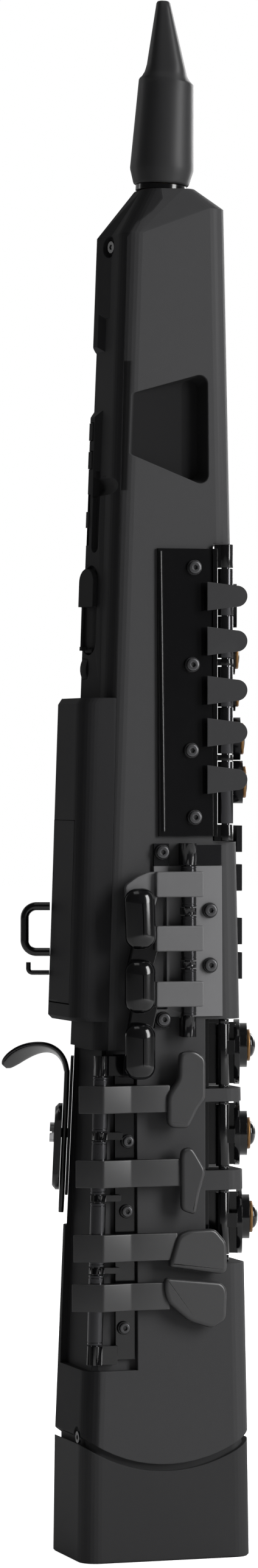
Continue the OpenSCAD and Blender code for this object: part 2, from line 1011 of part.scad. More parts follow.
lever_cuts = [[243.4, 215.9], [211.4, 184.6], [180.6, 148.4], [144.6, 109.4]];
lever_posts = [[243.8, 253.6], [211.8, 215.5], [181, 184.2], [145, 148], [99.6, 109]];

module lever_bracket() {
    color([0.24, 0.24, 0.245])
        difference() {
            union() {
                side_plate(17, 27, 101.5, 254, 2.2, 3.8);
                for (s = lever_posts)
                    lever_frame()
                        translate([0, 0, s[0] - lever_rod_z]) {
                            cylinder(r = tube_r, h = s[1] - s[0]);
                            translate([0, -12, 0])
                                cube([6, 12, s[1] - s[0]]);
                        }
            }
            difference() {
                body_form();
                lever_trench();
            }
            lever_frame()
                translate([0, 0, 95 - lever_rod_z])
                    cylinder(r = rod_r + 0.02, h = 165);
        }
}

// A lever arm in plan, from the paddle round the rod to its rear end
module lever_arm(z, rear_end, front_end) {
    outer = -36.2;
    translate([0, 0, z - lever_arm_h / 2])
        linear_extrude(lever_arm_h)
            polygon([[outer + 1.4, front_end], [outer, 22], [outer, 38.4], [-30.4, rear_end],
                     [-28.4, rear_end - 1.6], [-31.6, 39.4], [outer + lever_t, 34], [outer + lever_t, 22],
                     [outer + 1.4 + lever_t, front_end]]);
}

module lever_body(i, rear_end, front_end) {
    low = lever_cuts[i][1];
    high = lever_cuts[i][0];
    color([0.16, 0.16, 0.165])
        difference() {
            union() {
                lever_frame()
                    translate([0, 0, -lever_rod_z])
                        hinge_tube(low, high);
                lever_arm(lever_zs[i], rear_end, front_end);
                translate([-34.6, rear_y(lever_zs[i]) - 4.4, lever_zs[i] - lever_arm_h / 2 + 1])
                    cube([4, 5, lever_arm_h - 2]);
            }
            lever_frame()
                translate([0, 0, -lever_rod_z])
                    hinge_bore(low - 10, high + 10);
        }
}

// A flat paddle, drawn as height against depth
module paddle(outline) {
    color([0.16, 0.16, 0.165])
        translate([-37.4, 0, 0])
            rotate([90, 0, 90])
                linear_extrude(lever_t + 0.8)
                    polygon(outline);
}

module lever_1() {
    lever_body(0, 47.6, 1);
    paddle([[-4, 255], [-11.7, 256.1], [-17.5, 252], [-17.5, 231.9], [-13.3, 226.8], [-10.4, 221.1],
            [-8.1, 216.9], [0.5, 217.4], [2.8, 219.8], [2.8, 233.8], [-3, 241.9], [-3.3, 251.1]]);
}

module lever_2() {
    lever_body(1, 49.2, -5);
    paddle([[-5.6, 206.9], [-10.1, 207.7], [-13.3, 203], [-17.5, 195.6], [-14.2, 185], [-12, 173.5],
            [-4.6, 176.1], [-4.3, 204.2]]);
}

module lever_3() {
    lever_body(2, 50.4, -3);
    paddle([[2.2, 147.8], [-2.7, 163.5], [-8.8, 166], [-22.6, 166.3], [-28.7, 159.4], [-29.1, 145.3],
            [-26.2, 143.3], [-2.7, 147.3]]);
}

module lever_4() {
    lever_body(3, 51.2, 1);
    paddle([[4.4, 142.7], [-26.2, 139.3], [-29.1, 135.6], [-28.4, 120.6], [-21, 116.3], [-8.8, 120.4],
            [2.5, 129.9], [4.4, 135.7]]);
}

// Hinge tubes and heights of the little finger keys on the front left
table_tube = [[369, 353.4], [350.6, 333], [322.6, 306.4], [305.6, 289]];

module table_key(i) {
    color([0.12, 0.12, 0.125])
        difference() {
            union() {
                translate([table_rod[0], table_rod[1], 0])
                    hinge_tube(table_tube[i][1], table_tube[i][0], 3.4);
                translate([-8, -46.6, table_zs[i] - 6.75])
                    cube([30, 3, 13.5]);
                translate([20, -46.6, table_zs[i] - 4])
                    cube([9, 3, 8]);
                translate([26.6, -46.6, table_zs[i] - 4])
                    cube([3, 13, 8]);
            }
            translate([table_rod[0], table_rod[1], 0])
                hinge_bore(table_tube[i][1], table_tube[i][0]);
        }
}

module table_key_1() {
    table_key(0);
}

module table_key_2() {
    table_key(1);
}

module table_key_3() {
    table_key(2);
}

module table_key_4() {
    table_key(3);
}

palm_tube = [[603, 581], [577, 549], [545, 523]];

// A rounded palm touch on the left side, hinged before it
module palm_key(i) {
    color([0.12, 0.12, 0.125]) {
        difference() {
            union() {
                translate([palm_rod[0], palm_rod[1], 0])
                    hinge_tube(palm_tube[i][1], palm_tube[i][0], 3.4);
                translate([palm_rod[0] + 0.6, palm_rod[1], palm_zs[i] - 4])
                    cube([2.6, 14, 8]);
            }
            translate([palm_rod[0], palm_rod[1], 0])
                hinge_bore(palm_tube[i][1], palm_tube[i][0]);
        }
        translate([palm_rod[0] + 3, palm_rod[1] + 19, palm_zs[i]])
            soft_touch(14, 6, 24);
    }
}

module palm_key_1() {
    palm_key(0);
}

module palm_key_2() {
    palm_key(1);
}

module palm_key_3() {
    palm_key(2);
}

// Plates and posts on the left side for the little finger and palm keys
module left_bracket() {
    color([0.2, 0.2, 0.205])
        difference() {
            union() {
                mirror([1, 0, 0])
                    side_plate(-30, -6, 287, 373, 1.8);
                for (s = [[369.4, 373], [350.9, 353.1], [322.9, 332.6], [305.8, 306.2], [286, 288.7]])
                    translate([table_rod[0], table_rod[1], s[0]]) {
                        cylinder(r = 3.2, h = s[1] - s[0]);
                        translate([-3.9, 0, 0])
                            cube([5, 8, s[1] - s[0]]);
                    }
                mirror([1, 0, 0])
                    side_plate(-16, 0, 519.6, 606.4, 1.8);
                for (s = [[603.4, 606.4], [577.4, 580.6], [545.4, 548.6], [519.6, 522.6]])
                    translate([palm_rod[0], palm_rod[1], s[0]]) {
                        cylinder(r = 3.2, h = s[1] - s[0]);
                        translate([half_w(s[0]) - palm_rod[0] + 0.1, -2.6, 0])
                            cube([palm_rod[0] - half_w(s[0]), 5.2, s[1] - s[0]]);
                    }
            }
            translate([table_rod[0], table_rod[1], 280])
                cylinder(r = rod_r + 0.02, h = 100);
            translate([palm_rod[0], palm_rod[1], 515])
                cylinder(r = rod_r + 0.02, h = 100);
        }
}

module hinge_rods() {
    color([0.5, 0.5, 0.5]) {
        canted() {
            translate([upper_rod[0], upper_rod[1], 360.6])
                cylinder(r = rod_r, h = 149);
            translate([lower_rod[0], lower_rod[1], lower_low - 5])
                cylinder(r = rod_r, h = lower_high - lower_low + 10);
        }
        translate([side_rod[0], side_rod[1], 262.8])
            cylinder(r = rod_r, h = 96.6);
        lever_frame()
            translate([0, 0, 99.8 - lever_rod_z])
                cylinder(r = rod_r, h = 153.6);
        translate([table_rod[0], table_rod[1], 286.2])
            cylinder(r = rod_r, h = 86.6);
        translate([palm_rod[0], palm_rod[1], 519.8])
            cylinder(r = rod_r, h = 86.4);
    }
}

// A hex socket screw whose head points away from the right side
module cap_screw(x, y, z, head = 3.9) {
    translate([x, y, z])
        rotate([0, -90, 0])
            difference() {
                union() {
                    cylinder(r = head, h = 1.4);
                    cylinder(r = head - 1, h = 2.4);
                }
                translate([0, 0, 1.2])
                    cylinder(r = 1.3, h = 2, $fn = 6);
            }
}

module bracket_screws() {
    color([0.28, 0.28, 0.285]) {
        for (p = [[-14.7, 498.1], [-13.4, 449.2], [-12.8, 406.1], [-14.4, 372.5]])
            cap_screw(-half_w(p[1]) - 1.72, p[0], p[1]);
        for (p = [[2.9, 355.1], [2.6, 271.3], [-22.3, 325.8], [-22.3, 298.2]])
            cap_screw(-half_w(p[1]) - 1.8, p[0], p[1]);
        for (p = [[20.6, 210.4], [21.4, 175.5], [22.9, 117.3]])
            cap_screw(1.56 - half_w(p[1]), p[0], p[1], 3.4);
    }
}

// The rail with the thumb controls, let into the ridge of the facet
module control_rail() {
    color([0.1, 0.1, 0.105])
        difference() {
            intersection() {
                thumb_facet();
                rail_room();
            }
            body_form();
            thumb_channel();
            for (z = button_zs)
                thumb_block(button_w + 0.6, button_h + 0.6, z, -5);
            thumb_block(slider_w + 0.6, slider_slot, slider_z, -5);
        }
}

button_zs = [567.6, 553.2];
button_w = 6.6;
button_h = 8.6;
slider_z = 523;
slider_w = 4.8;
slider_slot = 26;

// A block over the ridge of width w and height h, from low above the plain rear face
module thumb_block(w, h, z, low) {
    translate([ridge_x - w / 2, rear_y(z) + low, z - h / 2])
        cube([w, 20, h]);
}

// A control that follows the ridge and stands a little proud of it
module thumb_control(w, h, z, proud) {
    color([0.16, 0.16, 0.165])
        intersection() {
            translate([0, proud, 0])
                thumb_facet();
            thumb_block(w, h, z, 1.9);
        }
}

module power_button() {
    thumb_control(button_w, button_h, button_zs[0], 0.4);
}

module function_button() {
    thumb_control(button_w, button_h, button_zs[1], 0.4);
}

module volume_slider() {
    thumb_control(slider_w, 8, slider_z, 0.5);
}

octave_pin_z = -31.5;

// A pad with a round top on a wire arm, hinged at the low end of its recess
module octave_key() {
    pad_t = 3.2;
    pad_low = -9.4;
    pad_top = 3;
    arm = [-2.6, 2.2];
    color([0.11, 0.11, 0.115])
        facet_frame(octave_z) {
            translate([octave_off, 0, pad_top])
                rotate([-90, 0, 0])
                    cylinder(r = pad_r, h = pad_t);
            translate([octave_off - pad_r, 0, pad_low])
                cube([2 * pad_r, pad_t, pad_top - pad_low]);
            translate([arm[0], arm[1], octave_pin_z])
                cylinder(r = 0.75, h = pad_low - octave_pin_z + 1);
            translate([arm[0] - 1, -0.4, octave_pin_z])
                cube([2, 3.3, 2]);
            translate([-9.4, -0.4, octave_pin_z])
                rotate([0, 90, 0])
                    cylinder(r = 1, h = 6.4);
        }
}

module bend_lever() {
    color([0.13, 0.13, 0.135])
        bend_slice(bend_r, bend_w, -1.2);
}

module strap_ring() {
    root = 50.85;
    reach = 14.9;
    color([0.08, 0.08, 0.085])
        canted()
            translate([box_crest_x, root, 315.6])
                rotate([0, -90, 0])
                    ring_loop(reach, 11.6);
}

// A flat D shaped loop in the plane of its local X and Y
module ring_loop(reach, half) {
    r = ring_wire_r;
    bend = 6;
    for (side = [-1, 1]) {
        translate([side * half, 0, 0])
            rotate([-90, 0, 0])
                cylinder(r = r, h = reach - bend - r);
        translate([side * (half - bend), reach - bend - r, 0])
            rotate([0, 0, side > 0 ? 0 : 90])
                rotate_extrude(angle = 90)
                    translate([bend, 0])
                        circle(r = r);
    }
    translate([bend - half, reach - r, 0])
        rotate([0, 90, 0])
            cylinder(r = r, h = 2 * (half - bend));
}

module cable_hook() {
    color([0.1, 0.1, 0.105])
        canted()
            translate([box_crest_x, 51.15, 293.6]) {
                rotate([-90, 0, 0])
                    cylinder(r = 1.2, h = 8.6);
                translate([0, 8.6, 2])
                    rotate([0, 90, 0])
                        rotate_extrude(angle = 90)
                            translate([2, 0])
                                circle(r = 1.2);
                translate([0, 10.6, 2])
                    cylinder(r = 1.2, h = 3.2);
            }
}

module speaker() {
    color([0.2, 0.2, 0.2])
        translate([4, speaker_y, 405])
            rotate([0, 90, 0]) {
                cylinder(r = 9.4, h = 9);
                cylinder(r = 6, h = 11.7);
            }
}

module main_board() {
    color([0.05, 0.25, 0.12])
        translate([-11.1, 4, 86])
            cube([20, 1.6, top_z - 129.6]);
}

module breath_sensor() {
    color([0.7, 0.7, 0.68]) {
        translate([-7, -2, top_z - 35.6])
            cube([14, 8, 12]);
        translate([0, neck_y + 0.5, top_z - 29.6])
            cylinder(r = 4.6, h = 20);
    }
}

// Height of one battery cell
cell_h = 44;

module batteries() {
    color([0.55, 0.5, 0.2])
        for (side = [-1, 1], low = [box_floor, box_floor + cell_h])
            translate([side * 5.6, 34.2, low])
                cylinder(r = 5.25, h = cell_h);
}

module battery_door() {
    half = door_h / 2;
    color([0.09, 0.09, 0.095])
        door_frame()
            union() {
                translate([-door_w / 2, -door_t, door_t / 2 - half])
                    cube([door_w, door_t, door_h - door_t / 2]);
                translate([-door_w / 2, -door_t / 2, door_t / 2 - half])
                    rotate([0, 90, 0])
                        cylinder(r = door_t / 2, h = door_w);
            }
}

hook_lean = 2.5;

// The upright frame of the thumb hook, whose Y is zero on the pad behind it
module hook_frame() {
    canted()
        translate([rear_x, 43.8, 173])
            rotate([hook_lean, 0, 0])
                children();
}

// The thin pad on the body that the thumb hook slides on
module hook_plate() {
    color([0.09, 0.09, 0.095])
        hook_frame()
            difference() {
                translate([-hook_w / 2 - 1, -1.6, 8])
                    cube([hook_w + 2, 1.4, 70]);
                translate([-2.7, -3, 28])
                    cube([5.4, 6, 22]);
            }
}

// A bent strip that the right thumb rests under
module thumb_hook() {
    t = 2.8;
    color([0.06, 0.06, 0.065])
        hook_frame()
            difference() {
                translate([-hook_w / 2, 0, 0])
                    rotate([90, 0, 90])
                        linear_extrude(hook_w)
                            hook_profile(t);
                translate([0, 0, 39])
                    rotate([-90, 0, 0])
                        cylinder(r = 2.6, h = 30, center = true);
            }
}

// The strip seen from the side: up the plate, over the arch, down to the tip
module hook_profile(t) {
    bend = 13;
    high = 72;
    square([t, high]);
    translate([bend, high - 0.1])
        intersection() {
            difference() {
                circle(r = bend);
                circle(r = bend - t);
            }
            translate([-bend, 0])
                square([bend, bend]);
        }
    translate([bend - 0.1, high - 0.1 + bend - t])
        square([9, t]);
    translate([bend + 8.8, high - 14.1])
        intersection() {
            difference() {
                circle(r = 27);
                circle(r = 27 - t);
            }
            polygon([[0, 0], [0, 40], [22, 40], [22, 15]]);
        }
}

// An oval plate and a slotted screw that clamp the hook
module clamp_plate() {
    reach = 13.6;
    rim = [[0, 0], [8.4, 0], [8.4, 1.8], [6.4, 3.6], [0, 3.6]];
    color([0.05, 0.05, 0.055])
        hook_frame() {
            translate([0, 3, 32])
                rotate([-90, 0, 0]) {
                    for (side = [-1, 1])
                        translate([0, side * reach, 0])
                            rotate_extrude()
                                polygon(rim);
                    rotate([90, 0, 0])
                        linear_extrude(2 * reach, center = true)
                            for (side = [0, 1])
                                mirror([side, 0])
                                    polygon(rim);
                }
            translate([0, -1.2, 39])
                rotate([-90, 0, 0])
                    difference() {
                        union() {
                            cylinder(r = 2.4, h = 8);
                            translate([0, 0, 7.3])
                                cylinder(r = 5, h = 2.8);
                        }
                        translate([-6, -0.7, 9])
                            cube([12, 1.4, 2]);
                    }
        }
}

front_shell();
rear_shell();
bottom_cap();
neck_collar();
neck_tube();
upper_bracket();
lower_stack_bracket();
side_bracket();
lever_bracket();
left_bracket();
hinge_rods();
bracket_screws();
case_screws();
control_rail();
strap_ring();
cable_hook();
speaker();
main_board();
batteries();
breath_sensor();
hook_plate();
mouthpiece();
front_f_key();
b_key();
bis_key();
a_key();
g_key();
b_pearl();
bis_pearl();
a_pearl();
g_pearl();
lower_f_key();
lower_e_key();
lower_d_key();
lower_f_pearl();
lower_e_pearl();
lower_d_pearl();
side_key_1();
side_key_2();
side_key_3();
lever_1();
lever_2();
lever_3();
lever_4();
table_key_1();
table_key_2();
table_key_3();
table_key_4();
palm_key_1();
palm_key_2();
palm_key_3();
octave_key();
bend_lever();
power_button();
function_button();
volume_slider();
thumb_hook();
clamp_plate();
battery_door();
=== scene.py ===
import json
import math

import bmesh
import bpy
from mathutils import Matrix, Vector

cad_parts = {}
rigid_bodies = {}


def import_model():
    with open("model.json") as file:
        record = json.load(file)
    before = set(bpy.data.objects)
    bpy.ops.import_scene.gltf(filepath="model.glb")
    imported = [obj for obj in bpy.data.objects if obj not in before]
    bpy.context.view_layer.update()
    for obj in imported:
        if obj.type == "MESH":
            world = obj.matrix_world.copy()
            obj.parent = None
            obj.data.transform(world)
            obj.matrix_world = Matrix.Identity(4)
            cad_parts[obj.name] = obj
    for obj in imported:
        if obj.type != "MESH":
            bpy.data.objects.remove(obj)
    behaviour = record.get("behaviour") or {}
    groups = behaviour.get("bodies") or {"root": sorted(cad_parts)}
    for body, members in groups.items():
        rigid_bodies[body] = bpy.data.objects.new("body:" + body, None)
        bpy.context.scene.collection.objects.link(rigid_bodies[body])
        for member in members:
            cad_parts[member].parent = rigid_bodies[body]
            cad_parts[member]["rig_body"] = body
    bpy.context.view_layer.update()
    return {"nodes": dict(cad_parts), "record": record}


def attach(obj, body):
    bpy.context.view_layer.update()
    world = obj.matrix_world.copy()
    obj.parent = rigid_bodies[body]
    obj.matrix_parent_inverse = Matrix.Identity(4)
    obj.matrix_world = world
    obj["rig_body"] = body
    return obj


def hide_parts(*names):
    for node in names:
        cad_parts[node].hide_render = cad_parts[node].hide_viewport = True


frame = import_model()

nodes = frame["nodes"]
mm = 0.001
print("frame loaded:", len(nodes), "nodes")


# Places in millimetres and turns in degrees
def point(x, y, z):
    return Vector((x, y, z)) * mm


def move(x, y, z):
    return Matrix.Translation(point(x, y, z))


def turn(degrees, axis):
    return Matrix.Rotation(math.radians(degrees), 4, axis)


canted = turn(-18, "Z")  # the key stacks are turned this far round the body
viewDirection = canted @ Vector((1, 0, 0))  # across the stacks, and the way that the camera looks
bodySide = {"halfWidth": 30, "taper": 0.0123}  # at the floor in mm, and how much it narrows with height


def halfWidth(z):
    return bodySide["halfWidth"] - bodySide["taper"] * z


# Camera, square on to the stacks
cameraSetup = {
    "distance": 2570, "across": 10.7, "height": 396, "lens": 116.47, "sensor": 36, "shiftY": -0.00854,
    "clip": (0.05, 60),
}
cameraData = bpy.data.cameras.new("viewCamera")
cameraData.lens = cameraSetup["lens"]
cameraData.sensor_width = cameraSetup["sensor"]
cameraData.shift_y = cameraSetup["shiftY"]
cameraData.clip_start, cameraData.clip_end = cameraSetup["clip"]
camera = bpy.data.objects.new("viewCamera", cameraData)
camera.location = canted @ point(-cameraSetup["distance"], cameraSetup["across"], cameraSetup["height"])
camera.rotation_euler = viewDirection.to_track_quat("-Z", "Y").to_euler()
bpy.context.scene.collection.objects.link(camera)
bpy.context.scene.camera = camera
bpy.context.scene.view_settings.view_transform = "Standard"


# Gives a node's input a plain value, or a link from another node's output
def feed(tree, socket, value):
    if isinstance(value, bpy.types.NodeSocket):
        tree.links.new(value, socket)
    else:
        socket.default_value = value


def mathNode(tree, operation, *values, clamp=False):
    node = tree.nodes.new("ShaderNodeMath")
    node.operation = operation
    node.use_clamp = clamp
    for socket, value in zip(node.inputs, values):
        feed(tree, socket, value)
    return node.outputs[0]


def vectorNode(tree, operation, *values, out="Vector"):
    node = tree.nodes.new("ShaderNodeVectorMath")
    node.operation = operation
    for socket, value in zip(node.inputs, values):
        feed(tree, socket, value)
    return node.outputs[out]


mixSockets = {"FLOAT": (0, 2, 3, 0), "RGBA": (0, 6, 7, 2)}  # factor, first, second and the result


def mixNode(tree, kind, *values):
    node = tree.nodes.new("ShaderNodeMix")
    node.data_type = kind
    *places, result = mixSockets[kind]
    for place, value in zip(places, values):
        feed(tree, node.inputs[place], value)
    return node.outputs[result]


def noiseNode(tree, place, scale, detail, rough):
    node = tree.nodes.new("ShaderNodeTexNoise")
    for label, value in (("Vector", place), ("Scale", scale), ("Detail", detail), ("Roughness", rough)):
        feed(tree, node.inputs[label], value)
    return node.outputs["Fac"]


# Goes smoothly from low to high while the value goes from first to last
def riseNode(tree, value, first, last, low=0.0, high=1.0):
    node = tree.nodes.new("ShaderNodeMapRange")
    node.interpolation_type = "SMOOTHSTEP"
    settings = {"Value": value, "From Min": first, "From Max": last, "To Min": low, "To Max": high}
    for label, setting in settings.items():
        feed(tree, node.inputs[label], setting)
    return node.outputs["Result"]


def objectPlace(tree):
    return tree.nodes.new("ShaderNodeTexCoord").outputs["Object"]


# Stage: a pale backdrop behind the object, a dim room behind the camera and a pale floor
stageSetup = {
    "roomLevel": 0.07, "backdropLevel": 0.4, "backdropSpan": (0.0, 0.8),
    "floorHalf": 14, "floorColour": 0.86, "floorLift": 0.9, "glossyLift": 0.1,
}


def buildWorld():
    world = bpy.data.worlds.new("paleRoom")
    bpy.context.scene.world = world
    world.use_nodes = True
    tree = world.node_tree
    tree.nodes.clear()
    place = tree.nodes.new("ShaderNodeTexCoord").outputs["Generated"]
    ahead = vectorNode(tree, "DOT_PRODUCT", place, viewDirection, out="Value")
    first, last = stageSetup["backdropSpan"]
    level = riseNode(tree, ahead, first, last, stageSetup["roomLevel"], stageSetup["backdropLevel"])
    mix = tree.nodes.new("ShaderNodeMixShader")
    feed(tree, mix.inputs[0], tree.nodes.new("ShaderNodeLightPath").outputs["Is Camera Ray"])
    for socket, strength in zip(mix.inputs[1:], (level, 1.0)):
        background = tree.nodes.new("ShaderNodeBackground")
        feed(tree, background.inputs["Color"], (1, 1, 1, 1))
        feed(tree, background.inputs["Strength"], strength)
        feed(tree, socket, background.outputs[0])
    feed(tree, tree.nodes.new("ShaderNodeOutputWorld").inputs[0], mix.outputs[0])


def buildFloor():
    half = stageSetup["floorHalf"]
    corners = [(-half, -half, 0), (half, -half, 0), (half, half, 0), (-half, half, 0)]
    mesh = bpy.data.meshes.new("floor")
    mesh.from_pydata(corners, [], [(0, 1, 2, 3)])
    floor = bpy.data.objects.new("floor", mesh)
    bpy.context.scene.collection.objects.link(floor)
    material = bpy.data.materials.new("paleFloor")
    material.use_nodes = True
    tree = material.node_tree
    tree.nodes.clear()
    diffuse = tree.nodes.new("ShaderNodeBsdfDiffuse")
    diffuse.inputs["Color"].default_value = (stageSetup["floorColour"],) * 3 + (1,)
    rays = tree.nodes.new("ShaderNodeLightPath").outputs
    seen = mathNode(tree, "MULTIPLY_ADD", rays["Is Glossy Ray"], stageSetup["glossyLift"],
                    rays["Is Camera Ray"])
    lift = tree.nodes.new("ShaderNodeEmission")
    feed(tree, lift.inputs["Strength"], mathNode(tree, "MULTIPLY", seen, stageSetup["floorLift"]))
    both = tree.nodes.new("ShaderNodeAddShader")
    feed(tree, both.inputs[0], diffuse.outputs[0])
    feed(tree, both.inputs[1], lift.outputs[0])
    feed(tree, tree.nodes.new("ShaderNodeOutputMaterial").inputs[0], both.outputs[0])
    mesh.materials.append(material)


# Lamps stand at an angle round the upright from the camera's side, positive to the right of the view
lampAim = (0, 0, 0.38)
lampSetup = {
    "keySoftbox": {"angle": 64, "away": 2.4, "height": 1.2, "size": (0.8, 1.9), "power": 62},
    "topSoftbox": {"angle": 10, "away": 0.7, "height": 2.6, "size": (1.2, 1.2), "power": 5},
    "farSoftbox": {"angle": 150, "away": 2.3, "height": 1.2, "size": (0.8, 1.6), "power": 22},
    "backSoftbox": {"angle": -115, "away": 2.4, "height": 1.0, "size": (0.5, 1.6), "power": 4},
}


def addLamp(name, setup):
    angle, away = math.radians(180 + setup["angle"]), setup["away"]
    place = canted @ Vector((away * math.cos(angle), away * math.sin(angle), setup["height"]))
    data = bpy.data.lights.new(name, "AREA")
    data.shape = "RECTANGLE"
    data.size, data.size_y = setup["size"]
    data.energy = setup["power"]
    lamp = bpy.data.objects.new(name, data)
    lamp.location = place
    lamp.rotation_euler = (Vector(lampAim) - place).to_track_quat("-Z", "Y").to_euler()
    bpy.context.scene.collection.objects.link(lamp)


buildWorld()
buildFloor()
for name, setup in lampSetup.items():
    addLamp(name, setup)
print("stage ready")


# Each shader node group is built once. This returns the group, what it is given and what it puts out
def newGroup(name, inputs, outputs):
    group = bpy.data.node_groups.new(name, "ShaderNodeTree")
    for label, kind, value in inputs:
        socket = group.interface.new_socket(label, in_out="INPUT", socket_type="NodeSocket" + kind)
        socket.default_value = value
    for label, kind in outputs:
        group.interface.new_socket(label, in_out="OUTPUT", socket_type="NodeSocket" + kind)
    return group, group.nodes.new("NodeGroupInput").outputs, group.nodes.new("NodeGroupOutput").inputs


grainPits = 0.6  # how deep the pits are beside the fine grain


# Fine grain of moulded plastic
def buildGrainGroup():
    group, given, result = newGroup("mouldedGrain", (("Scale", "Float", 2600.0),), (("Height", "Float"),))
    place = objectPlace(group)
    fine = noiseNode(group, place, given["Scale"], detail=3, rough=0.6)
    cells = group.nodes.new("ShaderNodeTexVoronoi")
    feed(group, cells.inputs["Vector"], place)
    feed(group, cells.inputs["Scale"], given["Scale"])
    pits = mathNode(group, "MULTIPLY", cells.outputs["Distance"], grainPits)
    feed(group, result["Height"], mathNode(group, "ADD", fine, pits))
    return group


edgeWear = {"samples": 4, "gain": 4.0, "patchScale": 160.0, "patchFrom": 0.38}


# Edges are rubbed in patches, where the softened normal turns away from the plain one
def buildEdgeGroup():
    group, given, result = newGroup(
        "rubbedEdges",
        (("Base", "Color", (0.05, 0.05, 0.05, 1)), ("Rubbed", "Color", (0.2, 0.2, 0.2, 1)),
         ("Width", "Float", 0.0006), ("Amount", "Float", 0.5)),
        (("Colour", "Color"), ("Normal", "Vector")),
    )
    soft = group.nodes.new("ShaderNodeBevel")
    soft.samples = edgeWear["samples"]
    feed(group, soft.inputs["Radius"], given["Width"])
    plain = group.nodes.new("ShaderNodeNewGeometry").outputs["Normal"]
    turned = vectorNode(group, "DOT_PRODUCT", soft.outputs["Normal"], plain, out="Value")
    edge = mathNode(group, "SUBTRACT", 1.0, turned, clamp=True)
    edge = mathNode(group, "MULTIPLY", edge, edgeWear["gain"], clamp=True)
    patches = noiseNode(group, objectPlace(group), edgeWear["patchScale"], detail=4, rough=0.6)
    patches = mathNode(group, "SUBTRACT", patches, edgeWear["patchFrom"], clamp=True)
    patches = mathNode(group, "MULTIPLY", patches, edgeWear["gain"], clamp=True)
    mask = mathNode(group, "MULTIPLY", edge, patches)
    mask = mathNode(group, "MULTIPLY", mask, given["Amount"], clamp=True)
    feed(group, result["Colour"], mixNode(group, "RGBA", mask, given["Base"], given["Rubbed"]))
    feed(group, result["Normal"], soft.outputs["Normal"])
    return group


handling = {"broadScale": 14.0, "smallScale": 240.0, "smallShare": 0.5, "middle": 0.75}


# Colour and roughness drift over the surface, as handling leaves them
def buildHandlingGroup():
    group, given, result = newGroup(
        "handlingMarks",
        (("Colour", "Color", (0.05, 0.05, 0.05, 1)), ("Spread", "Float", 0.12), ("Roughness", "Float", 0.4),
         ("Variation", "Float", 0.08)),
        (("Colour", "Color"), ("Roughness", "Float")),
    )
    place = objectPlace(group)
    broad = noiseNode(group, place, handling["broadScale"], detail=3, rough=0.55)
    small = noiseNode(group, place, handling["smallScale"], detail=4, rough=0.65)
    both = mathNode(group, "ADD", broad, mathNode(group, "MULTIPLY", small, handling["smallShare"]))
    both = mathNode(group, "SUBTRACT", both, handling["middle"])
    level = mathNode(group, "ADD", 1.0, mathNode(group, "MULTIPLY", both, given["Spread"]))
    rough = mathNode(group, "ADD", given["Roughness"], mathNode(group, "MULTIPLY", both, given["Variation"]))
    feed(group, result["Colour"], vectorNode(group, "MULTIPLY", given["Colour"], level))
    feed(group, result["Roughness"], rough)
    return group


# Fine upright lines of drawn or brushed metal
def buildBrushGroup():
    group, given, result = newGroup(
        "drawnLines", (("Along", "Float", 40.0), ("Across", "Float", 2400.0)), (("Height", "Float"),))
    scale = group.nodes.new("ShaderNodeCombineXYZ")
    for socket, label in zip(scale.inputs, ("Across", "Across", "Along")):
        feed(group, socket, given[label])
    stretched = vectorNode(group, "MULTIPLY", objectPlace(group), scale.outputs[0])
    feed(group, result["Height"], noiseNode(group, stretched, 1.0, detail=3, rough=0.6))
    return group


# Marks what stands nearer than Radius to an upright axis, such as a hinge tube
def buildAxisGroup():
    group, given, result = newGroup(
        "nearAxis", (("Axis", "Vector", (0, 0, 0)), ("Radius", "Float", 0.004)), (("Mask", "Float"),))
    away = vectorNode(group, "SUBTRACT", objectPlace(group), given["Axis"])
    level = vectorNode(group, "MULTIPLY", away, (1, 1, 0))
    length = vectorNode(group, "LENGTH", level, out="Value")
    feed(group, result["Mask"], mathNode(group, "LESS_THAN", length, given["Radius"]))
    return group


# Rises from 0 to 1 between two distances along a direction
def buildDepthGroup():
    group, given, result = newGroup(
        "alongDirection",
        (("Direction", "Vector", (1, 0, 0)), ("Start", "Float", 0.0), ("End", "Float", 0.001)),
        (("Mask", "Float"),),
    )
    depth = vectorNode(group, "DOT_PRODUCT", objectPlace(group), given["Direction"], out="Value")
    feed(group, result["Mask"], riseNode(group, depth, given["Start"], given["End"]))
    return group


grainGroup = buildGrainGroup()
edgeGroup = buildEdgeGroup()
handlingGroup = buildHandlingGroup()
brushGroup = buildBrushGroup()
axisGroup = buildAxisGroup()
depthGroup = buildDepthGroup()


def placeGroup(tree, group, **values):
    node = tree.nodes.new("ShaderNodeGroup")
    node.node_tree = group
    for label, value in values.items():
        feed(tree, node.inputs[label], value)
    return node.outputs


surface = {"reliefDepth": 0.0001, "roughVariation": 0.08, "rubbedGain": 2.2, "rubbedLift": 0.03}


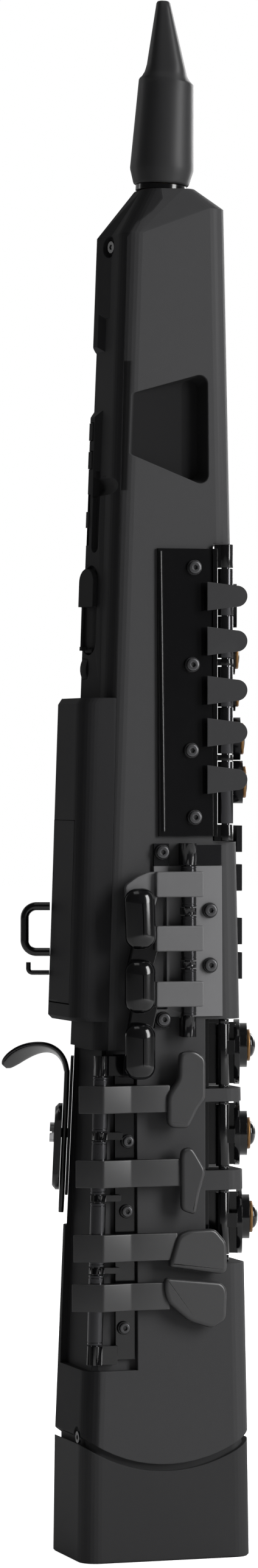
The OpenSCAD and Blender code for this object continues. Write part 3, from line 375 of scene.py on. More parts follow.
def finish(name, colour, rough, metal=0.0, coat=0.0, coatRough=0.1, specular=0.5, grain=0.0,
           grainScale=2600.0, brushed=0.0, edgeWidth=0.0006, edgeAmount=0.5, spread=0.14):
    material = bpy.data.materials.new(name)
    material.use_nodes = True
    tree = material.node_tree
    inputs = tree.nodes["Principled BSDF"].inputs
    inputs["Metallic"].default_value = metal
    inputs["Coat Weight"].default_value = coat
    inputs["Coat Roughness"].default_value = coatRough
    inputs["Specular IOR Level"].default_value = specular
    rubbed = [min(1, channel * surface["rubbedGain"] + surface["rubbedLift"]) for channel in colour]
    edges = placeGroup(tree, edgeGroup, Base=(*colour, 1), Rubbed=(*rubbed, 1), Width=edgeWidth,
                       Amount=edgeAmount)
    marks = placeGroup(tree, handlingGroup, Colour=edges["Colour"], Spread=spread, Roughness=rough,
                       Variation=surface["roughVariation"])
    relief = placeGroup(tree, brushGroup) if brushed else placeGroup(tree, grainGroup, Scale=grainScale)
    bump = tree.nodes.new("ShaderNodeBump")
    bump.inputs["Distance"].default_value = surface["reliefDepth"]
    bump.inputs["Strength"].default_value = brushed or grain
    feed(tree, bump.inputs["Height"], relief["Height"])
    feed(tree, bump.inputs["Normal"], edges["Normal"])
    feed(tree, inputs["Base Color"], marks["Colour"])
    feed(tree, inputs["Roughness"], marks["Roughness"])
    feed(tree, inputs["Normal"], bump.outputs["Normal"])
    return material


moulded = {"grain": 0.2, "edgeWidth": 0.0007, "edgeAmount": 0.2}
finishes = {
    "shell_black": finish("mattShell", (0.042, 0.042, 0.0435), 0.55, specular=0.2, **moulded),
    "rear_black": finish("mattRear", (0.022, 0.022, 0.023), 0.6, specular=0.06, **moulded),
    "cap_black": finish("mattCap", (0.037, 0.037, 0.038), 0.6, specular=0.1, **moulded),
    "gloss_black": finish("glossTrim", (0.003, 0.003, 0.0035), 0.16, coat=0.3, coatRough=0.06, specular=0.35,
                          grain=0.02, edgeWidth=0.0004),
    "key_grey": finish("satinKeys", (0.115, 0.115, 0.118), 0.45, metal=0.1, grain=0.04, edgeWidth=0.0003),
    "lever_black": finish("satinLevers", (0.034, 0.034, 0.035), 0.3, specular=0.45, grain=0.04,
                          edgeWidth=0.0004),
    "tab_grey": finish("satinTabs", (0.058, 0.058, 0.06), 0.42, specular=0.2, grain=0.04, edgeWidth=0.0004),
    "key_black": finish("blackKeys", (0.009, 0.009, 0.01), 0.18, coat=0.2, specular=0.3, grain=0.03,
                        edgeWidth=0.0003),
    "plate_grey": finish("greyPlates", (0.17, 0.17, 0.174), 0.5, metal=0.1, brushed=0.1, edgeWidth=0.0003),
    "side_plate": finish("greySidePlate", (0.15, 0.15, 0.154), 0.5, brushed=0.1, edgeWidth=0.0003),
    "rod_steel": finish("blackenedRods", (0.05, 0.05, 0.053), 0.2, metal=0.9, brushed=0.1, edgeWidth=0.0002),
    "screw_steel": finish("blackenedScrews", (0.075, 0.075, 0.078), 0.3, metal=0.8, grain=0.05,
                          edgeWidth=0.0002),
    # near black; on the plate washers it is painted shade round the screw heads
    "washer_black": finish("blackWashers", (0.008, 0.008, 0.009), 0.3, grain=0.05, edgeWidth=0.0002),
    "clamp_black": finish("clampAndScrew", (0.005, 0.005, 0.006), 0.2, grain=0.02, edgeWidth=0.0003),
    "pearl_ring": finish("brownBrass", (0.24, 0.13, 0.05), 0.36, metal=0.85, brushed=0.1, edgeWidth=0.0002),
    "cork": finish("neckCork", (0.42, 0.28, 0.15), 0.8, grain=0.8, grainScale=700.0, spread=0.5),
    "mouth_black": finish("satinBeak", (0.03, 0.03, 0.031), 0.44, specular=0.22, grain=0.02,
                          edgeWidth=0.0003),
    "inner_grey": finish("innerParts", (0.2, 0.2, 0.2), 0.5, grain=0.1),
    "board_green": finish("innerBoard", (0.03, 0.16, 0.07), 0.45, grain=0.05),
    "cell": finish("cellSleeves", (0.4, 0.35, 0.12), 0.4, grain=0.02),
}


# Where a mask says so, a finish changes its colour, roughness and metal
def layFinish(name, mask, colour, rough, metal=0.0):
    tree = finishes[name].node_tree
    inputs = tree.nodes["Principled BSDF"].inputs
    plainColour = inputs["Base Color"].links[0].from_socket
    plainRough = inputs["Roughness"].links[0].from_socket
    feed(tree, inputs["Base Color"], mixNode(tree, "RGBA", mask, plainColour, (*colour, 1)))
    feed(tree, inputs["Roughness"], mixNode(tree, "FLOAT", mask, plainRough, rough))
    if metal:
        feed(tree, inputs["Metallic"], mathNode(tree, "MULTIPLY", mask, metal))


# A mask in a finish that comes on over a short blend along a direction, in metres
def depthMask(name, direction, begins, blend):
    tree = finishes[name].node_tree
    return placeGroup(tree, depthGroup, Direction=direction, Start=begins, End=begins + blend)["Mask"]


# The upper keys: matt tabs, black arms and cups, blackened tubes
stackFinish = {
    "armFrom": -0.0196, "blend": 0.001, "rod": (-14, -37.9, 0), "tubeRadius": 0.00405,
    "arm": {"colour": (0.006, 0.006, 0.007), "rough": 0.2},
    "tube": {"colour": (0.05, 0.05, 0.053), "rough": 0.2, "metal": 0.9},
}
armMask = depthMask("tab_grey", viewDirection, stackFinish["armFrom"], stackFinish["blend"])
layFinish("tab_grey", armMask, **stackFinish["arm"])
tubeMask = placeGroup(finishes["tab_grey"].node_tree, axisGroup, Axis=canted @ point(*stackFinish["rod"]),
                      Radius=stackFinish["tubeRadius"])["Mask"]
layFinish("tab_grey", tubeMask, **stackFinish["tube"])

# The side plate is grey on its flat part only: it is black where it stands out and below its foot, and above
# its top the black is painted shade, standing for the shadowed top of the pocket that the plate sits in
sidePlate = {
    "blend": 0.0002, "black": {"colour": (0.006, 0.006, 0.007), "rough": 0.18},
    "limits": (((-1, 0, bodySide["taper"]), 0.0320), ((0, 0, 1), 0.348), ((0, 0, -1), -0.272)),
}
for direction, begins in sidePlate["limits"]:
    blackAndShadeMask = depthMask("side_plate", direction, begins, sidePlate["blend"])
    # black where the plate stands out and below its foot; painted shade above its top
    layFinish("side_plate", blackAndShadeMask, **sidePlate["black"])

# The clamp on the thumb hook is black, the head of its screw is bright
hookFrame = {
    "place": (8, 43.8, 173), "lean": 2.5, "screwFrom": 0.00675, "blend": 0.0001,
    "bright": {"colour": (0.5, 0.5, 0.51), "rough": 0.25, "metal": 1.0},
}
hookPlace = canted @ move(*hookFrame["place"]) @ turn(hookFrame["lean"], "X")
hookOut = hookPlace.to_3x3() @ Vector((0, 1, 0))
screwFrom = hookPlace.translation.dot(hookOut) + hookFrame["screwFrom"]
screwMask = depthMask("clamp_black", hookOut, screwFrom, hookFrame["blend"])
layFinish("clamp_black", screwMask, **hookFrame["bright"])

# Painted shade: the thumb hollow in the right side is painted darker with its depth, and made rougher,
# standing in for the shade in the recess
paintedHollowShade = {
    "dark": {"colour": (0.011, 0.011, 0.0115), "rough": 0.98},
    # direction, where the painted shade begins along it, and how far it takes to come on
    "limits": (
        ((1, 0, -bodySide["taper"]), -0.0297, 0.0008),  # in from the side's surface
        ((0, 0, 1), 0.536, 0.001),  # above its foot
        ((0, 0, -1), -0.602, 0.001),  # below its top
        ((0, 1, 0), -0.0242, 0.0004),  # behind its front edge
        ((-1, 0, 0), 0.002, 0.002),  # in the right half of the body
    ),
}
hollowShadeMask = 1.0
for limit in paintedHollowShade["limits"]:
    limitMask = depthMask("shell_black", *limit)
    hollowShadeMask = mathNode(finishes["shell_black"].node_tree, "MULTIPLY", hollowShadeMask, limitMask)
# painted shade: the shell's colour goes dark inside the thumb hollow
layFinish("shell_black", hollowShadeMask, **paintedHollowShade["dark"])
print("materials ready:", len(finishes))

# The CAD nodes: edge widths in millimetres, and the finishes that aren't the ones that their slots name
upperKeys = ["front_f_key", "b_key", "bis_key", "a_key", "g_key"]
lowerKeys = ["lower_f_key", "lower_e_key", "lower_d_key"]
edgeWidths = {
    "front_shell": 0.35, "rear_shell": 0.35, "bottom_cap": 0.6, "upper_bracket": 0.25, "side_bracket": 0.3,
    "lever_bracket": 0.25, "left_bracket": 0.25, "lower_stack_bracket": 0.25, "battery_door": 0.1,
    "control_rail": 0.2, "octave_key": 0.5, "bend_lever": 0.3, "clamp_plate": 0.25, "table_key_1": 0.5,
    "table_key_2": 0.5, "table_key_3": 0.5, "table_key_4": 0.5, **dict.fromkeys(upperKeys + lowerKeys, 0.4),
}
nodeFinish = {
    "clamp_plate": "clamp_black", "side_bracket": "side_plate", "lever_bracket": "gloss_black",
    "case_screws": "washer_black", "lower_stack_bracket": "gloss_black",
    **dict.fromkeys(upperKeys, "tab_grey"), **dict.fromkeys(lowerKeys, "gloss_black"),
}
edgeSetup = {"weld": 0.02, "segments": 2, "angle": 38}
nodeSlot = {part["node"]: part["material_slot"] for part in frame["record"]["subparts"]}


def soften(obj, width):
    join = obj.modifiers.new("weld", "WELD")
    join.merge_threshold = edgeSetup["weld"] * mm
    bevel = obj.modifiers.new("edges", "BEVEL")
    bevel.width = width * mm
    bevel.segments = edgeSetup["segments"]
    bevel.limit_method = "ANGLE"
    bevel.angle_limit = math.radians(edgeSetup["angle"])


for name, obj in nodes.items():
    obj.data.materials.clear()
    obj.data.materials.append(finishes[nodeFinish.get(name, nodeSlot[name])])
    if name in edgeWidths:
        soften(obj, edgeWidths[name])
print("frame nodes dressed")


# A finished mesh becomes a piece that rides on the body of a CAD node
def addPiece(name, bm, material, node, replaced=(), smooth=40):
    bmesh.ops.recalc_face_normals(bm, faces=bm.faces)
    mesh = bpy.data.meshes.new(name)
    bm.to_mesh(mesh)
    bm.free()
    mesh.materials.append(finishes[material])
    mesh.shade_smooth()
    mesh.set_sharp_from_angle(angle=math.radians(smooth))
    obj = bpy.data.objects.new(name, mesh)
    bpy.context.scene.collection.objects.link(obj)
    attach(obj, nodes[node]["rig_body"])
    if replaced:
        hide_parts(*replaced)


# Rings of points are set in place and skinned into one surface
def skinRings(bm, matrix, rings, closed=True):
    rows = [[bm.verts.new(matrix @ spot) for spot in ring] for ring in rings]
    count = len(rows[0])
    for lower, upper in zip(rows, rows[1:]):
        for index in range(count):
            after = (index + 1) % count
            bm.faces.new((lower[index], lower[after], upper[after], upper[index]))
    if closed:
        bm.faces.new(list(reversed(rows[0])))
        bm.faces.new(rows[-1])
    return rows


def circleRing(radius, height, count=48):
    step = 2 * math.pi / count
    return [point(radius * math.cos(step * k), radius * math.sin(step * k), height) for k in range(count)]


# The rings of a turned form: its profile is (radius, height), or radius beyond the one given
def turnedRings(profile, radius=0.0, count=48):
    return [circleRing(radius + beyond, height, count) for beyond, height in profile]


def hexRing(radius, height, count=48):
    ring = []
    for k in range(count):
        angle = 2 * math.pi * k / count
        reach = radius * math.cos(math.pi / 6) / math.cos((angle % (math.pi / 3)) - math.pi / 6)
        ring.append(point(reach * math.cos(angle), reach * math.sin(angle), height))
    return ring


# Screws of the plates on the right side, each on its washer; the washer's near black is painted shade, the
# dark shadow ring round each head
plateScrews = {
    "turn": 17,  # each screw stops this much further round than the one before
    # profiles as (radius beyond the head's, height)
    "washer": ((-0.1, 0), (0, 0.2), (0, 1.0), (-0.25, 1.35), (-0.95, 1.45), (-1.05, 1.4)),
    "headProfile": ((-0.95, 1.3), (-0.75, 1.5), (-0.75, 2.15), (-0.95, 2.42), (-1.2, 2.5)),
    # the socket's round rim and its six-sided hole, as (radius, height)
    "rim": (1.6, 2.5), "socket": ((1.38, 2.46), (1.25, 2.2), (1.22, 0.9)),
    # offset is from the body's side, negative outwards, and places are (rearwards, up)
    "plates": (
        {"offset": -1.72, "head": 3.9,
         "places": ((-14.7, 498.1), (-13.4, 449.2), (-12.8, 406.1), (-14.4, 372.5))},
        {"offset": -1.8, "head": 3.9,
         "places": ((2.9, 355.1), (2.6, 271.3), (-22.3, 325.8), (-22.3, 298.2))},
        {"offset": 1.56, "head": 3.4, "places": ((20.6, 210.4), (21.4, 175.5), (22.9, 117.3))},
    ),
}


def buildPlateScrews():
    setup = plateScrews
    screws, shadowWashers = bmesh.new(), bmesh.new()
    for plate in setup["plates"]:
        for index, (y, z) in enumerate(plate["places"]):
            place = move(plate["offset"] - halfWidth(z), y, z) @ turn(-90, "Y")
            place = place @ turn(setup["turn"] * index, "Z")
            rings = turnedRings(setup["headProfile"], plate["head"]) + [circleRing(*setup["rim"])]
            rings += [hexRing(radius, height) for radius, height in setup["socket"]]
            skinRings(screws, place, rings)
            skinRings(shadowWashers, place, turnedRings(setup["washer"], plate["head"]))
    addPiece("plateScrews", screws, "screw_steel", "bracket_screws", replaced=["bracket_screws"], smooth=30)
    # the black washers stand for the shadow ring round each head: painted shade
    addPiece("plateShadowWashers", shadowWashers, "washer_black", "bracket_screws")


buildPlateScrews()
print("screws ready")


# The folded edge of the upper plate, a fine upright ridge
foldSetup = {
    "ends": ((1.8, 365.4), (3.0, 506.2)), "stand": 1.65, "wide": 0.9, "tall": 0.75, "sunk": 0.3, "steps": 8,
}


def buildFold():
    setup = foldSetup
    rings = []
    for y, z in setup["ends"]:
        x = -halfWidth(z) - setup["stand"]
        ring = [point(x + setup["sunk"], y, z)]
        for step in range(setup["steps"] + 1):
            angle = math.pi * step / setup["steps"]
            ring.append(point(x - setup["tall"] * math.sin(angle), y + setup["wide"] * math.cos(angle), z))
        rings.append(ring)
    fold = bmesh.new()
    skinRings(fold, Matrix.Identity(4), rings)
    addPiece("upperPlateFold", fold, "gloss_black", "upper_bracket")


buildFold()
print("plate fold ready")


# Pearls: a brass ring and a dark dome for each
pearlSetup = {
    # each pearl's place is its reach to the front, its height along the body and its radius
    "stacks": (
        {"x": 6, "dome": 1.0,
         "pearls": {"b": (43.1, 455.6, 8), "bis": (43.3, 434, 5.6), "a": (45.8, 412.2, 8),
                    "g": (47, 390.2, 8)}},
        {"x": 9, "dome": 3.0,
         "pearls": {"lower_f": (49.1, 256.5, 8), "lower_e": (49.2, 211.8, 8), "lower_d": (50.4, 169.4, 8)}},
    ),
    # radius beyond the ring's own, and height
    "ring": ((-0.15, 0), (0, 0.2), (0, 1.2), (-0.2, 1.5), (-0.6, 1.7), (-1.4, 1.7), (-1.8, 1.5), (-1.9, 1.1),
             (-1.9, 0.9)),
    "domeFoot": (-1.95, 0.95), "domeEdge": (-1.98, 1.35), "domeSteps": 9, "count": 64,
}


def buildPearl(name, x, reach, z, radius, dome):
    place = canted @ move(x, -reach, z) @ turn(90, "X")
    count, steps = pearlSetup["count"], pearlSetup["domeSteps"]
    ring = bmesh.new()
    skinRings(ring, place, turnedRings(pearlSetup["ring"], radius, count))
    addPiece(name + "Ring", ring, "pearl_ring", name + "_pearl", replaced=[name + "_pearl"])
    rings = turnedRings([pearlSetup["domeFoot"]], radius, count)
    edge, low = pearlSetup["domeEdge"]
    for step in range(steps):
        angle = math.pi / 2 * step / steps
        rings.append(circleRing((radius + edge) * math.cos(angle), low + dome * math.sin(angle), count))
    domeMesh = bmesh.new()
    skinRings(domeMesh, place, rings)
    addPiece(name + "Dome", domeMesh, "gloss_black", name + "_pearl")


for stack in pearlSetup["stacks"]:
    for name, (reach, z, radius) in stack["pearls"].items():
        buildPearl(name, stack["x"], reach, z, radius, stack["dome"])
print("pearls ready")


# Mouthpiece: a round shank that narrows into a beak, cut flatter at the front
mouthSetup = {
    "neckY": -5.6, "topZ": 689.6, "lean": 3, "lift": 3, "count": 96,
    # the bore and the foot, as radius and height
    "foot": ((10, 36), (10, 0.4), (10.4, 0), (13.4, 0), (13.9, 0.35)),
    # how far each level may reach from the middle, as height and reach
    "round": ((1, 14.2), (8, 16.15), (93.2, 11.89)),
    "rear": ((0, 18), (53.4, 13.9), (54.6, 12.6), (57, 11.2), (60.5, 10.25), (93.2, 6.8)),
    "front": ((0, 18), (51.5, 14.1), (53, 12.2), (55.2, 10.7), (93.2, 0)),
    "side": ((0, 18), (53, 13.8), (57, 12.3), (93.2, 6.6)),
    "levels": (1, 2.2, 4.5, 7.6, 8, 8.4, 14, 22, 30, 38, 46, 50, 51.5, 52.3, 53, 53.7, 54.6, 55.6, 57, 59,
               61, 66, 72, 78, 84, 89, 92.2, 92.9, 93.2),
    "squareFrom": 50, "squareOver": 10, "squareMost": 0.9,  # the beak is squarer than the shank
    "lineAt": 8, "lineSize": 0.994,  # a fine line round the top of the foot ring
    "tipSizes": {92.9: 0.9, 93.2: 0.72},  # the last levels draw in to a blunt tip
}


def alongPath(path, z):
    for (z0, a0), (z1, a1) in zip(path, path[1:]):
        if z <= z1:
            return a0 + (a1 - a0) * (z - z0) / (z1 - z0)
    return path[-1][1]


# One level of the mouthpiece: a circle, cut back to the beak's rear, front and sides
def mouthRing(z):
    setup = mouthSetup
    radius = alongPath(setup["round"], z)
    rear, front, side = [min(radius, alongPath(setup[limit], z)) for limit in ("rear", "front", "side")]
    middle, half = (rear - front) / 2, (rear + front) / 2
    rise = max(0.0, min(1.0, (z - setup["squareFrom"]) / setup["squareOver"]))
    power = 2 / (2 + setup["squareMost"] * rise)
    ring = []
    for k in range(setup["count"]):
        angle = 2 * math.pi * k / setup["count"]
        across, along = math.cos(angle), math.sin(angle)
        x = side * math.copysign(abs(across) ** power, across)
        y = middle + half * math.copysign(abs(along) ** power, along)
        ring.append(point(x, y, z))
    return ring


def buildMouthpiece():
    setup = mouthSetup
    rings = turnedRings(setup["foot"], count=setup["count"])
    for z in setup["levels"]:
        ring = mouthRing(z)
        if z == setup["lineAt"]:
            shrink = setup["lineSize"]
            ring = [Vector((spot.x * shrink, spot.y * shrink, spot.z)) for spot in ring]
        if z in setup["tipSizes"]:
            centre = sum(ring, Vector()) / len(ring)
            ring = [centre + (spot - centre) * setup["tipSizes"][z] for spot in ring]
        rings.append(ring)
    neck = move(0, setup["neckY"], setup["topZ"]) @ turn(setup["lean"], "X")
    mouthpiece = bmesh.new()
    skinRings(mouthpiece, neck @ move(0, 0, setup["lift"]) @ canted, rings)
    addPiece("mouthpieceBody", mouthpiece, "mouth_black", "mouthpiece", replaced=["mouthpiece"], smooth=50)


buildMouthpiece()
print("mouthpiece ready")


# Outlines and plates in flat planes
plateShape = {
    "cornerShare": 0.45,  # a rounded corner takes up no more than this of a side
    "chamfer": 0.4,  # the lower edge, as a share of the rim
    "flatInset": 0.35,  # a ring of faces inside the rim, which keeps the flat's shading even
}


def roundCorners(outline, radius, steps=4):
    rounded = []
    for k, corner in enumerate(outline):
        here = Vector(corner)
        back, ahead = Vector(outline[k - 1]) - here, Vector(outline[(k + 1) % len(outline)]) - here
        first = here + back.normalized() * min(radius, back.length * plateShape["cornerShare"])
        last = here + ahead.normalized() * min(radius, ahead.length * plateShape["cornerShare"])
        for step in range(steps + 1):
            t = step / steps
            rounded.append(first * (1 - t) ** 2 + here * 2 * t * (1 - t) + last * t ** 2)
    return rounded


def boxOutline(low, high, front, rear):
    return [(low, front), (high, front), (high, rear), (low, rear)]


def shrinkOutline(outline, inset):
    area = sum(a.x * b.y - b.x * a.y for a, b in zip(outline, outline[1:] + outline[:1]))
    side = 1 if area > 0 else -1
    shrunk = []
    for k, here in enumerate(outline):
        along = (outline[(k + 1) % len(outline)] - outline[k - 1]).normalized()
        shrunk.append(here + Vector((-along.y, along.x)) * inset * side)
    return shrunk


# A plate between two heights, with a rounded upper rim
def addPlate(bm, matrix, outline, low, high, rim, steps=4):
    chamfer = rim * plateShape["chamfer"]
    levels = [(chamfer, low), (0, low + chamfer)]
    for step in range(steps + 1):
        angle = math.pi / 2 * step / steps
        levels.append((rim * (1 - math.cos(angle)), high - rim + rim * math.sin(angle)))
    levels.append((rim + plateShape["flatInset"], high))
    skinRings(bm, matrix, [[point(spot.x, spot.y, height) for spot in shrinkOutline(outline, inset)]
                           for inset, height in levels])


# A pad's section goes from its lowest to its highest angle, rounder or squarer with its power
padShape = {
    "power": 2.05, "steps": 30, "lowest": -80, "highest": 89.4, "cornerPoints": 14, "smallestCorner": 0.05,
}


def padOutline(length, width, corner):
    outline = []
    for sideX, sideY, start in ((1, 1, 0), (-1, 1, 90), (-1, -1, 180), (1, -1, 270)):
        for k in range(padShape["cornerPoints"]):
            angle = math.radians(start + 90 * k / (padShape["cornerPoints"] - 1))
            outline.append((sideX * (length / 2 - corner) + corner * math.cos(angle),
                            sideY * (width / 2 - corner) + corner * math.sin(angle)))
    return outline


# A soft pad, longest along local X, with its crown towards local Z
def addPad(bm, matrix, length, width, corner, top, bottom):
    lowest, highest, bend = padShape["lowest"], padShape["highest"], 2 / padShape["power"]
    rings = []
    for step in range(padShape["steps"] + 1):
        angle = math.radians(lowest + (highest - lowest) * step / padShape["steps"])
        reach = abs(math.cos(angle)) ** bend
        inset = width * (1 - reach)
        height = (top if angle > 0 else bottom) * math.copysign(abs(math.sin(angle)) ** bend, angle)
        rounding = min(corner, width / 2) * max(reach, padShape["smallestCorner"])
        outline = padOutline(length - inset, width - inset, rounding)
        rings.append([point(x, y, height) for x, y in outline])
    skinRings(bm, matrix, rings)


# A hinge tube stops short of its posts; both ends have the same profile of radius and distance from the end
tubeShape = {
    "gap": 0.2, "end": ((2.06, 0), (3.7, 0), (3.9, 0.2), (3.9, 1.1), (3.68, 1.22), (3.68, 1.5), (3.88, 1.6)),
}


def buildTube(name, node, matrix, low, high):
    low, high = low + tubeShape["gap"], high - tubeShape["gap"]
    rings = [circleRing(radius, low + inwards) for radius, inwards in tubeShape["end"]]
    rings += [circleRing(radius, high - inwards) for radius, inwards in reversed(tubeShape["end"])]
    tube = bmesh.new()
    rows = skinRings(tube, matrix, rings + rings[:1], closed=False)
    bmesh.ops.remove_doubles(tube, verts=rows[0] + rows[-1], dist=0.001 * mm)
    addPiece(name, tube, "rod_steel", node)


# Side keys: a grey arm with a bent link, a hinge tube and a glossy touch on each
sideKeySetup = {
    "rod": (-32.6, -9.6), "armX": -36.9, "armDepth": 3.5, "halfHeight": 6.4,
    # the arm's plates, its foot and its saddle: front end, rear end, inset, start, depth, corner, rim
    "plates": ((-16.4, 8.8, 0, 0, 3.5, 1.3, 0.7), (-16.2, -12.8, 0.4, -3, 3.4, 0.6, 0.3),
               (-13, -6.2, 0.05, -2, 2.4, 0.5, 0.2)),
    "link": {"start": -2.4, "depth": 2.9, "corner": 1.6, "rim": 0.5},
    "touch": {"out": 0.3, "y": 17.6, "width": 15.8, "corner": 6.4, "top": 5.5, "bottom": 0.9},
    "keys": {
        # the first key's link has an outline of its own, as (rearwards, up)
        "side_key_1": {"arm": 339.1, "tube": (327.6, 348.4), "touch": 322.1, "length": 30.4, "tilt": -2,
                       "linkFinish": "key_grey",
                       "link": ((7, 345.5), (12, 345.2), (18, 342.8), (24, 338.6), (23, 321), (11, 321),
                                (7, 332.7))},
        "side_key_2": {"arm": 312, "tube": (300.8, 323.4), "touch": 288.4, "length": 26.8, "tilt": 0,
                       "linkFinish": "gloss_black"},
        "side_key_3": {"arm": 284.2, "tube": (273.2, 296.8), "touch": 256, "length": 28.2, "tilt": 0,
                       "linkFinish": "gloss_black"},
    },
}


# The link bends down from an arm's end to its touch
def bentLink(arm, touch):
    half = sideKeySetup["halfHeight"]
    return ((7, arm + half), (10, arm + half - 1), (19, arm + 1.6), (23, touch + 8), (23, touch + 4),
            (11, touch + 4), (7, arm - half))


def buildSideKey(name, key):
    setup, link, touch = sideKeySetup, sideKeySetup["link"], sideKeySetup["touch"]
    # local X is up, local Y is to the rear and local Z away from the body
    facing = move(setup["armX"] + setup["armDepth"], 0, 0) @ turn(-90, "Y")
    low, high = key["arm"] - setup["halfHeight"], key["arm"] + setup["halfHeight"]
    outline = key.get("link") or bentLink(key["arm"], key["touch"])
    outline = roundCorners([(up, across) for across, up in outline], link["corner"])
    linkMesh = bmesh.new()
    addPlate(linkMesh, facing @ move(0, 0, link["start"]), outline, 0, link["depth"], link["rim"])
    addPiece(name + "Link", linkMesh, key["linkFinish"], name)
    arm = bmesh.new()
    for front, rear, inset, start, depth, corner, rim in setup["plates"]:
        outline = roundCorners(boxOutline(low + inset, high - inset, front, rear), corner)
        addPlate(arm, facing @ move(0, 0, start), outline, 0, depth, rim)
    addPiece(name + "Arm", arm, "key_grey", name, replaced=[name])
    buildTube(name + "Tube", name, move(*setup["rod"], 0), *key["tube"])
    touchMesh = bmesh.new()
    place = move(setup["armX"] - touch["out"], touch["y"], key["touch"])
    place = place @ turn(key["tilt"], "X") @ turn(-90, "Y")
    addPad(touchMesh, place, key["length"], touch["width"], touch["corner"], touch["top"], touch["bottom"])
    addPiece(name + "Touch", touchMesh, "gloss_black", name)


for name, key in sideKeySetup["keys"].items():
    buildSideKey(name, key)
print("side keys ready")


# Thumb hook: a strip that climbs the rear, arches over the thumb and ends in a turned spoon
hookSetup = {
    "steps": 6, "count": 32, "squareWidth": 0.4, "squareThick": 0.5,
    # out from the body, up, width, thickness, turn about its own length
    "path": ((1.4, 0, 9, 2.2, 0), (1.4, 1.5, 11.6, 2.8, 0), (1.4, 30, 12, 2.8, 0), (1.4, 66, 12, 2.8, 0),
             (1.8, 71, 12, 2.8, 2), (3.4, 75.8, 12, 2.8, 5), (6.4, 79.5, 12.4, 2.8, 10),
             (10.2, 81.4, 13, 2.7, 15), (14.6, 81.8, 14, 2.6, 20), (19.6, 80.8, 15, 2.5, 25),
             (24.6, 78.6, 15.4, 2.4, 29), (29, 75.6, 14, 2.2, 32), (32.2, 72.8, 10.4, 1.9, 33),
             (33.6, 71.4, 5, 1.2, 33)),
}


# Rows of values are joined by smooth curves that pass through them
def smoothValues(rows, steps):
    smooth = []
    for k, (first, last) in enumerate(zip(rows, rows[1:])):
        before, after = rows[max(k - 1, 0)], rows[min(k + 2, len(rows) - 1)]
        for step in range(steps):
            t = step / steps
            smooth.append([0.5 * (2 * b + (c - a) * t + (2 * a - 5 * b + 4 * c - d) * t * t
                                  + (3 * b - a - 3 * c + d) * t ** 3)
                           for a, b, c, d in zip(before, first, last, after)])
    smooth.append(list(rows[-1]))
    return smooth


def buildHook():
    setup = hookSetup
    rows = smoothValues(setup["path"], setup["steps"])
    across = Vector((1, 0, 0))
    rings = []
    for k, (out, up, width, thick, twist) in enumerate(rows):
        before, after = rows[max(k - 1, 0)], rows[min(k + 1, len(rows) - 1)]
        over = across.cross(Vector((0, after[0] - before[0], after[1] - before[1])).normalized())
        angle = math.radians(twist)
        wide = across * math.cos(angle) - over * math.sin(angle)
        deep = over * math.cos(angle) + across * math.sin(angle)
        ring = []
        for step in range(setup["count"]):
            around = 2 * math.pi * step / setup["count"]
            sideways, outwards = math.cos(around), math.sin(around)
            a = width / 2 * math.copysign(abs(sideways) ** setup["squareWidth"], sideways)
            b = thick / 2 * math.copysign(abs(outwards) ** setup["squareThick"], outwards)
            ring.append((Vector((0, out, up)) + wide * a + deep * b) * mm)
        rings.append(ring)
    hook = bmesh.new()
    skinRings(hook, hookPlace, rings)
    addPiece("thumbHookStrip", hook, "gloss_black", "thumb_hook", replaced=["thumb_hook"], smooth=50)


buildHook()
print("thumb hook ready")


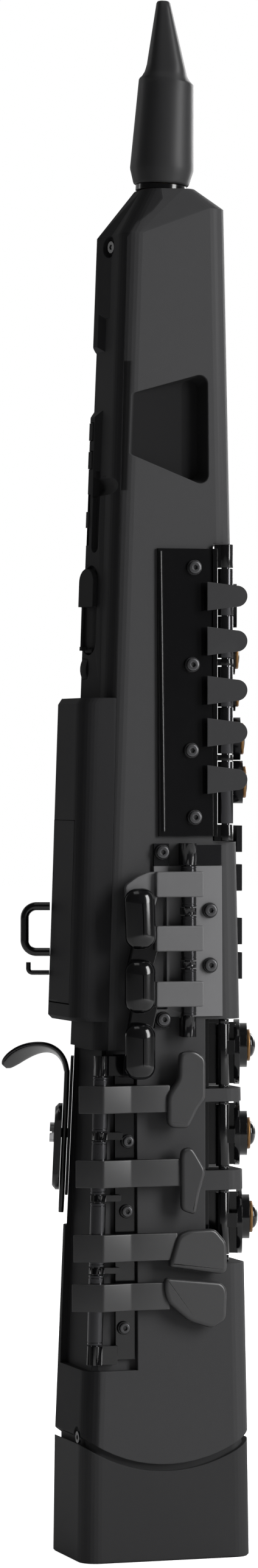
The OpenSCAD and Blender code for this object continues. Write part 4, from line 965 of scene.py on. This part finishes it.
# Lower levers: a bent flat arm, a hinge tube and a paddle on each
leverSetup = {
    "rod": (-29.8, 35.4, 253), "lean": 1.35, "halfHeight": 6.8, "corner": 0.7, "rim": 0.5,
    # the arm seen from above, as (across, rearwards), between its front and rear ends
    "outerSide": ((-35.3, 21.5), (-38.1, 37)), "innerSide": ((-31.6, 39.4), (-33, 34), (-33, 22)),
    "frontX": (-35.3, -32.1), "rearX": (-30.4, -28.4), "rearStep": 1.6,
    "lug": {"x": (-34.6, -30.6), "front": 4.4, "rear": 0.6, "inset": 1, "corner": 0.4, "rim": 0.2},
    "paddle": {"x": -33.4, "depth": 4, "corner": 2.6, "rim": 1.7},
    "levers": {
        "lever_1": {"tilt": 2, "arm": 232, "tube": (215.9, 243.4), "rear": 47.6, "front": 1,
                    "paddle": ((-4, 255), (-11.7, 256.1), (-17.5, 252), (-17.5, 231.9), (-13.3, 226.8),
                               (-10.4, 221.1), (-8.1, 216.9), (0.5, 217.4), (2.8, 219.8), (2.8, 233.8),
                               (-3, 241.9), (-3.3, 251.1))},
        "lever_2": {"tilt": -1, "arm": 195, "tube": (184.6, 211.4), "rear": 49.2, "front": -5,
                    "paddle": ((-5.6, 206.9), (-10.1, 207.7), (-13.3, 203), (-17.5, 195.6), (-14.2, 185),
                               (-12, 173.5), (-4.6, 176.1), (-4.3, 204.2))},
        "lever_3": {"tilt": 3, "arm": 158, "tube": (148.4, 180.6), "rear": 50.4, "front": -3,
                    "paddle": ((2.2, 147.8), (-2.7, 163.5), (-8.8, 166), (-22.6, 166.3), (-28.7, 159.4),
                               (-29.1, 145.3), (-26.2, 143.3), (-2.7, 147.3))},
        "lever_4": {"tilt": 3, "arm": 133.4, "tube": (109.4, 144.6), "rear": 51.2, "front": 1,
                    "paddle": ((4.4, 142.7), (-26.2, 139.3), (-29.1, 135.6), (-28.4, 120.6), (-21, 116.3),
                               (-8.8, 120.4), (2.5, 129.9), (4.4, 135.7))},
    },
}
bodyRear = {"foot": 46.4, "taper": 0.0382}  # the rear's place at the floor, and how it comes in with height


def buildLever(name, lever):
    setup, lug, paddle = leverSetup, leverSetup["lug"], leverSetup["paddle"]
    low, high = lever["arm"] - setup["halfHeight"], lever["arm"] + setup["halfHeight"]
    (frontOuter, frontInner), (rearOuter, rearInner) = setup["frontX"], setup["rearX"]
    front, rear = lever["front"], lever["rear"]
    plan = [(frontOuter, front), *setup["outerSide"], (rearOuter, rear),
            (rearInner, rear - setup["rearStep"]), *setup["innerSide"], (frontInner, front)]
    arm = bmesh.new()
    addPlate(arm, Matrix.Identity(4), roundCorners(plan, setup["corner"], steps=3), low, high, setup["rim"])
    facet = bodyRear["foot"] - bodyRear["taper"] * lever["arm"]
    plan = boxOutline(*lug["x"], facet - lug["front"], facet + lug["rear"])
    addPlate(arm, Matrix.Identity(4), roundCorners(plan, lug["corner"], steps=2), low + lug["inset"],
             high - lug["inset"], lug["rim"])
    addPiece(name + "Arm", arm, "lever_black", name, replaced=[name])
    rodFoot = setup["rod"][2]
    tubePlace = move(*setup["rod"]) @ turn(setup["lean"], "X")
    buildTube(name + "Tube", name, tubePlace, lever["tube"][0] - rodFoot, lever["tube"][1] - rodFoot)
    outline = roundCorners([(up, across) for across, up in lever["paddle"]], paddle["corner"])
    place = move(paddle["x"], 0, 0) @ turn(lever["tilt"], "Z") @ turn(-90, "Y")
    paddleMesh = bmesh.new()
    addPlate(paddleMesh, place, outline, 0, paddle["depth"], paddle["rim"], steps=5)
    addPiece(name + "Paddle", paddleMesh, "lever_black", name)


for name, lever in leverSetup["levers"].items():
    buildLever(name, lever)
print("levers ready")
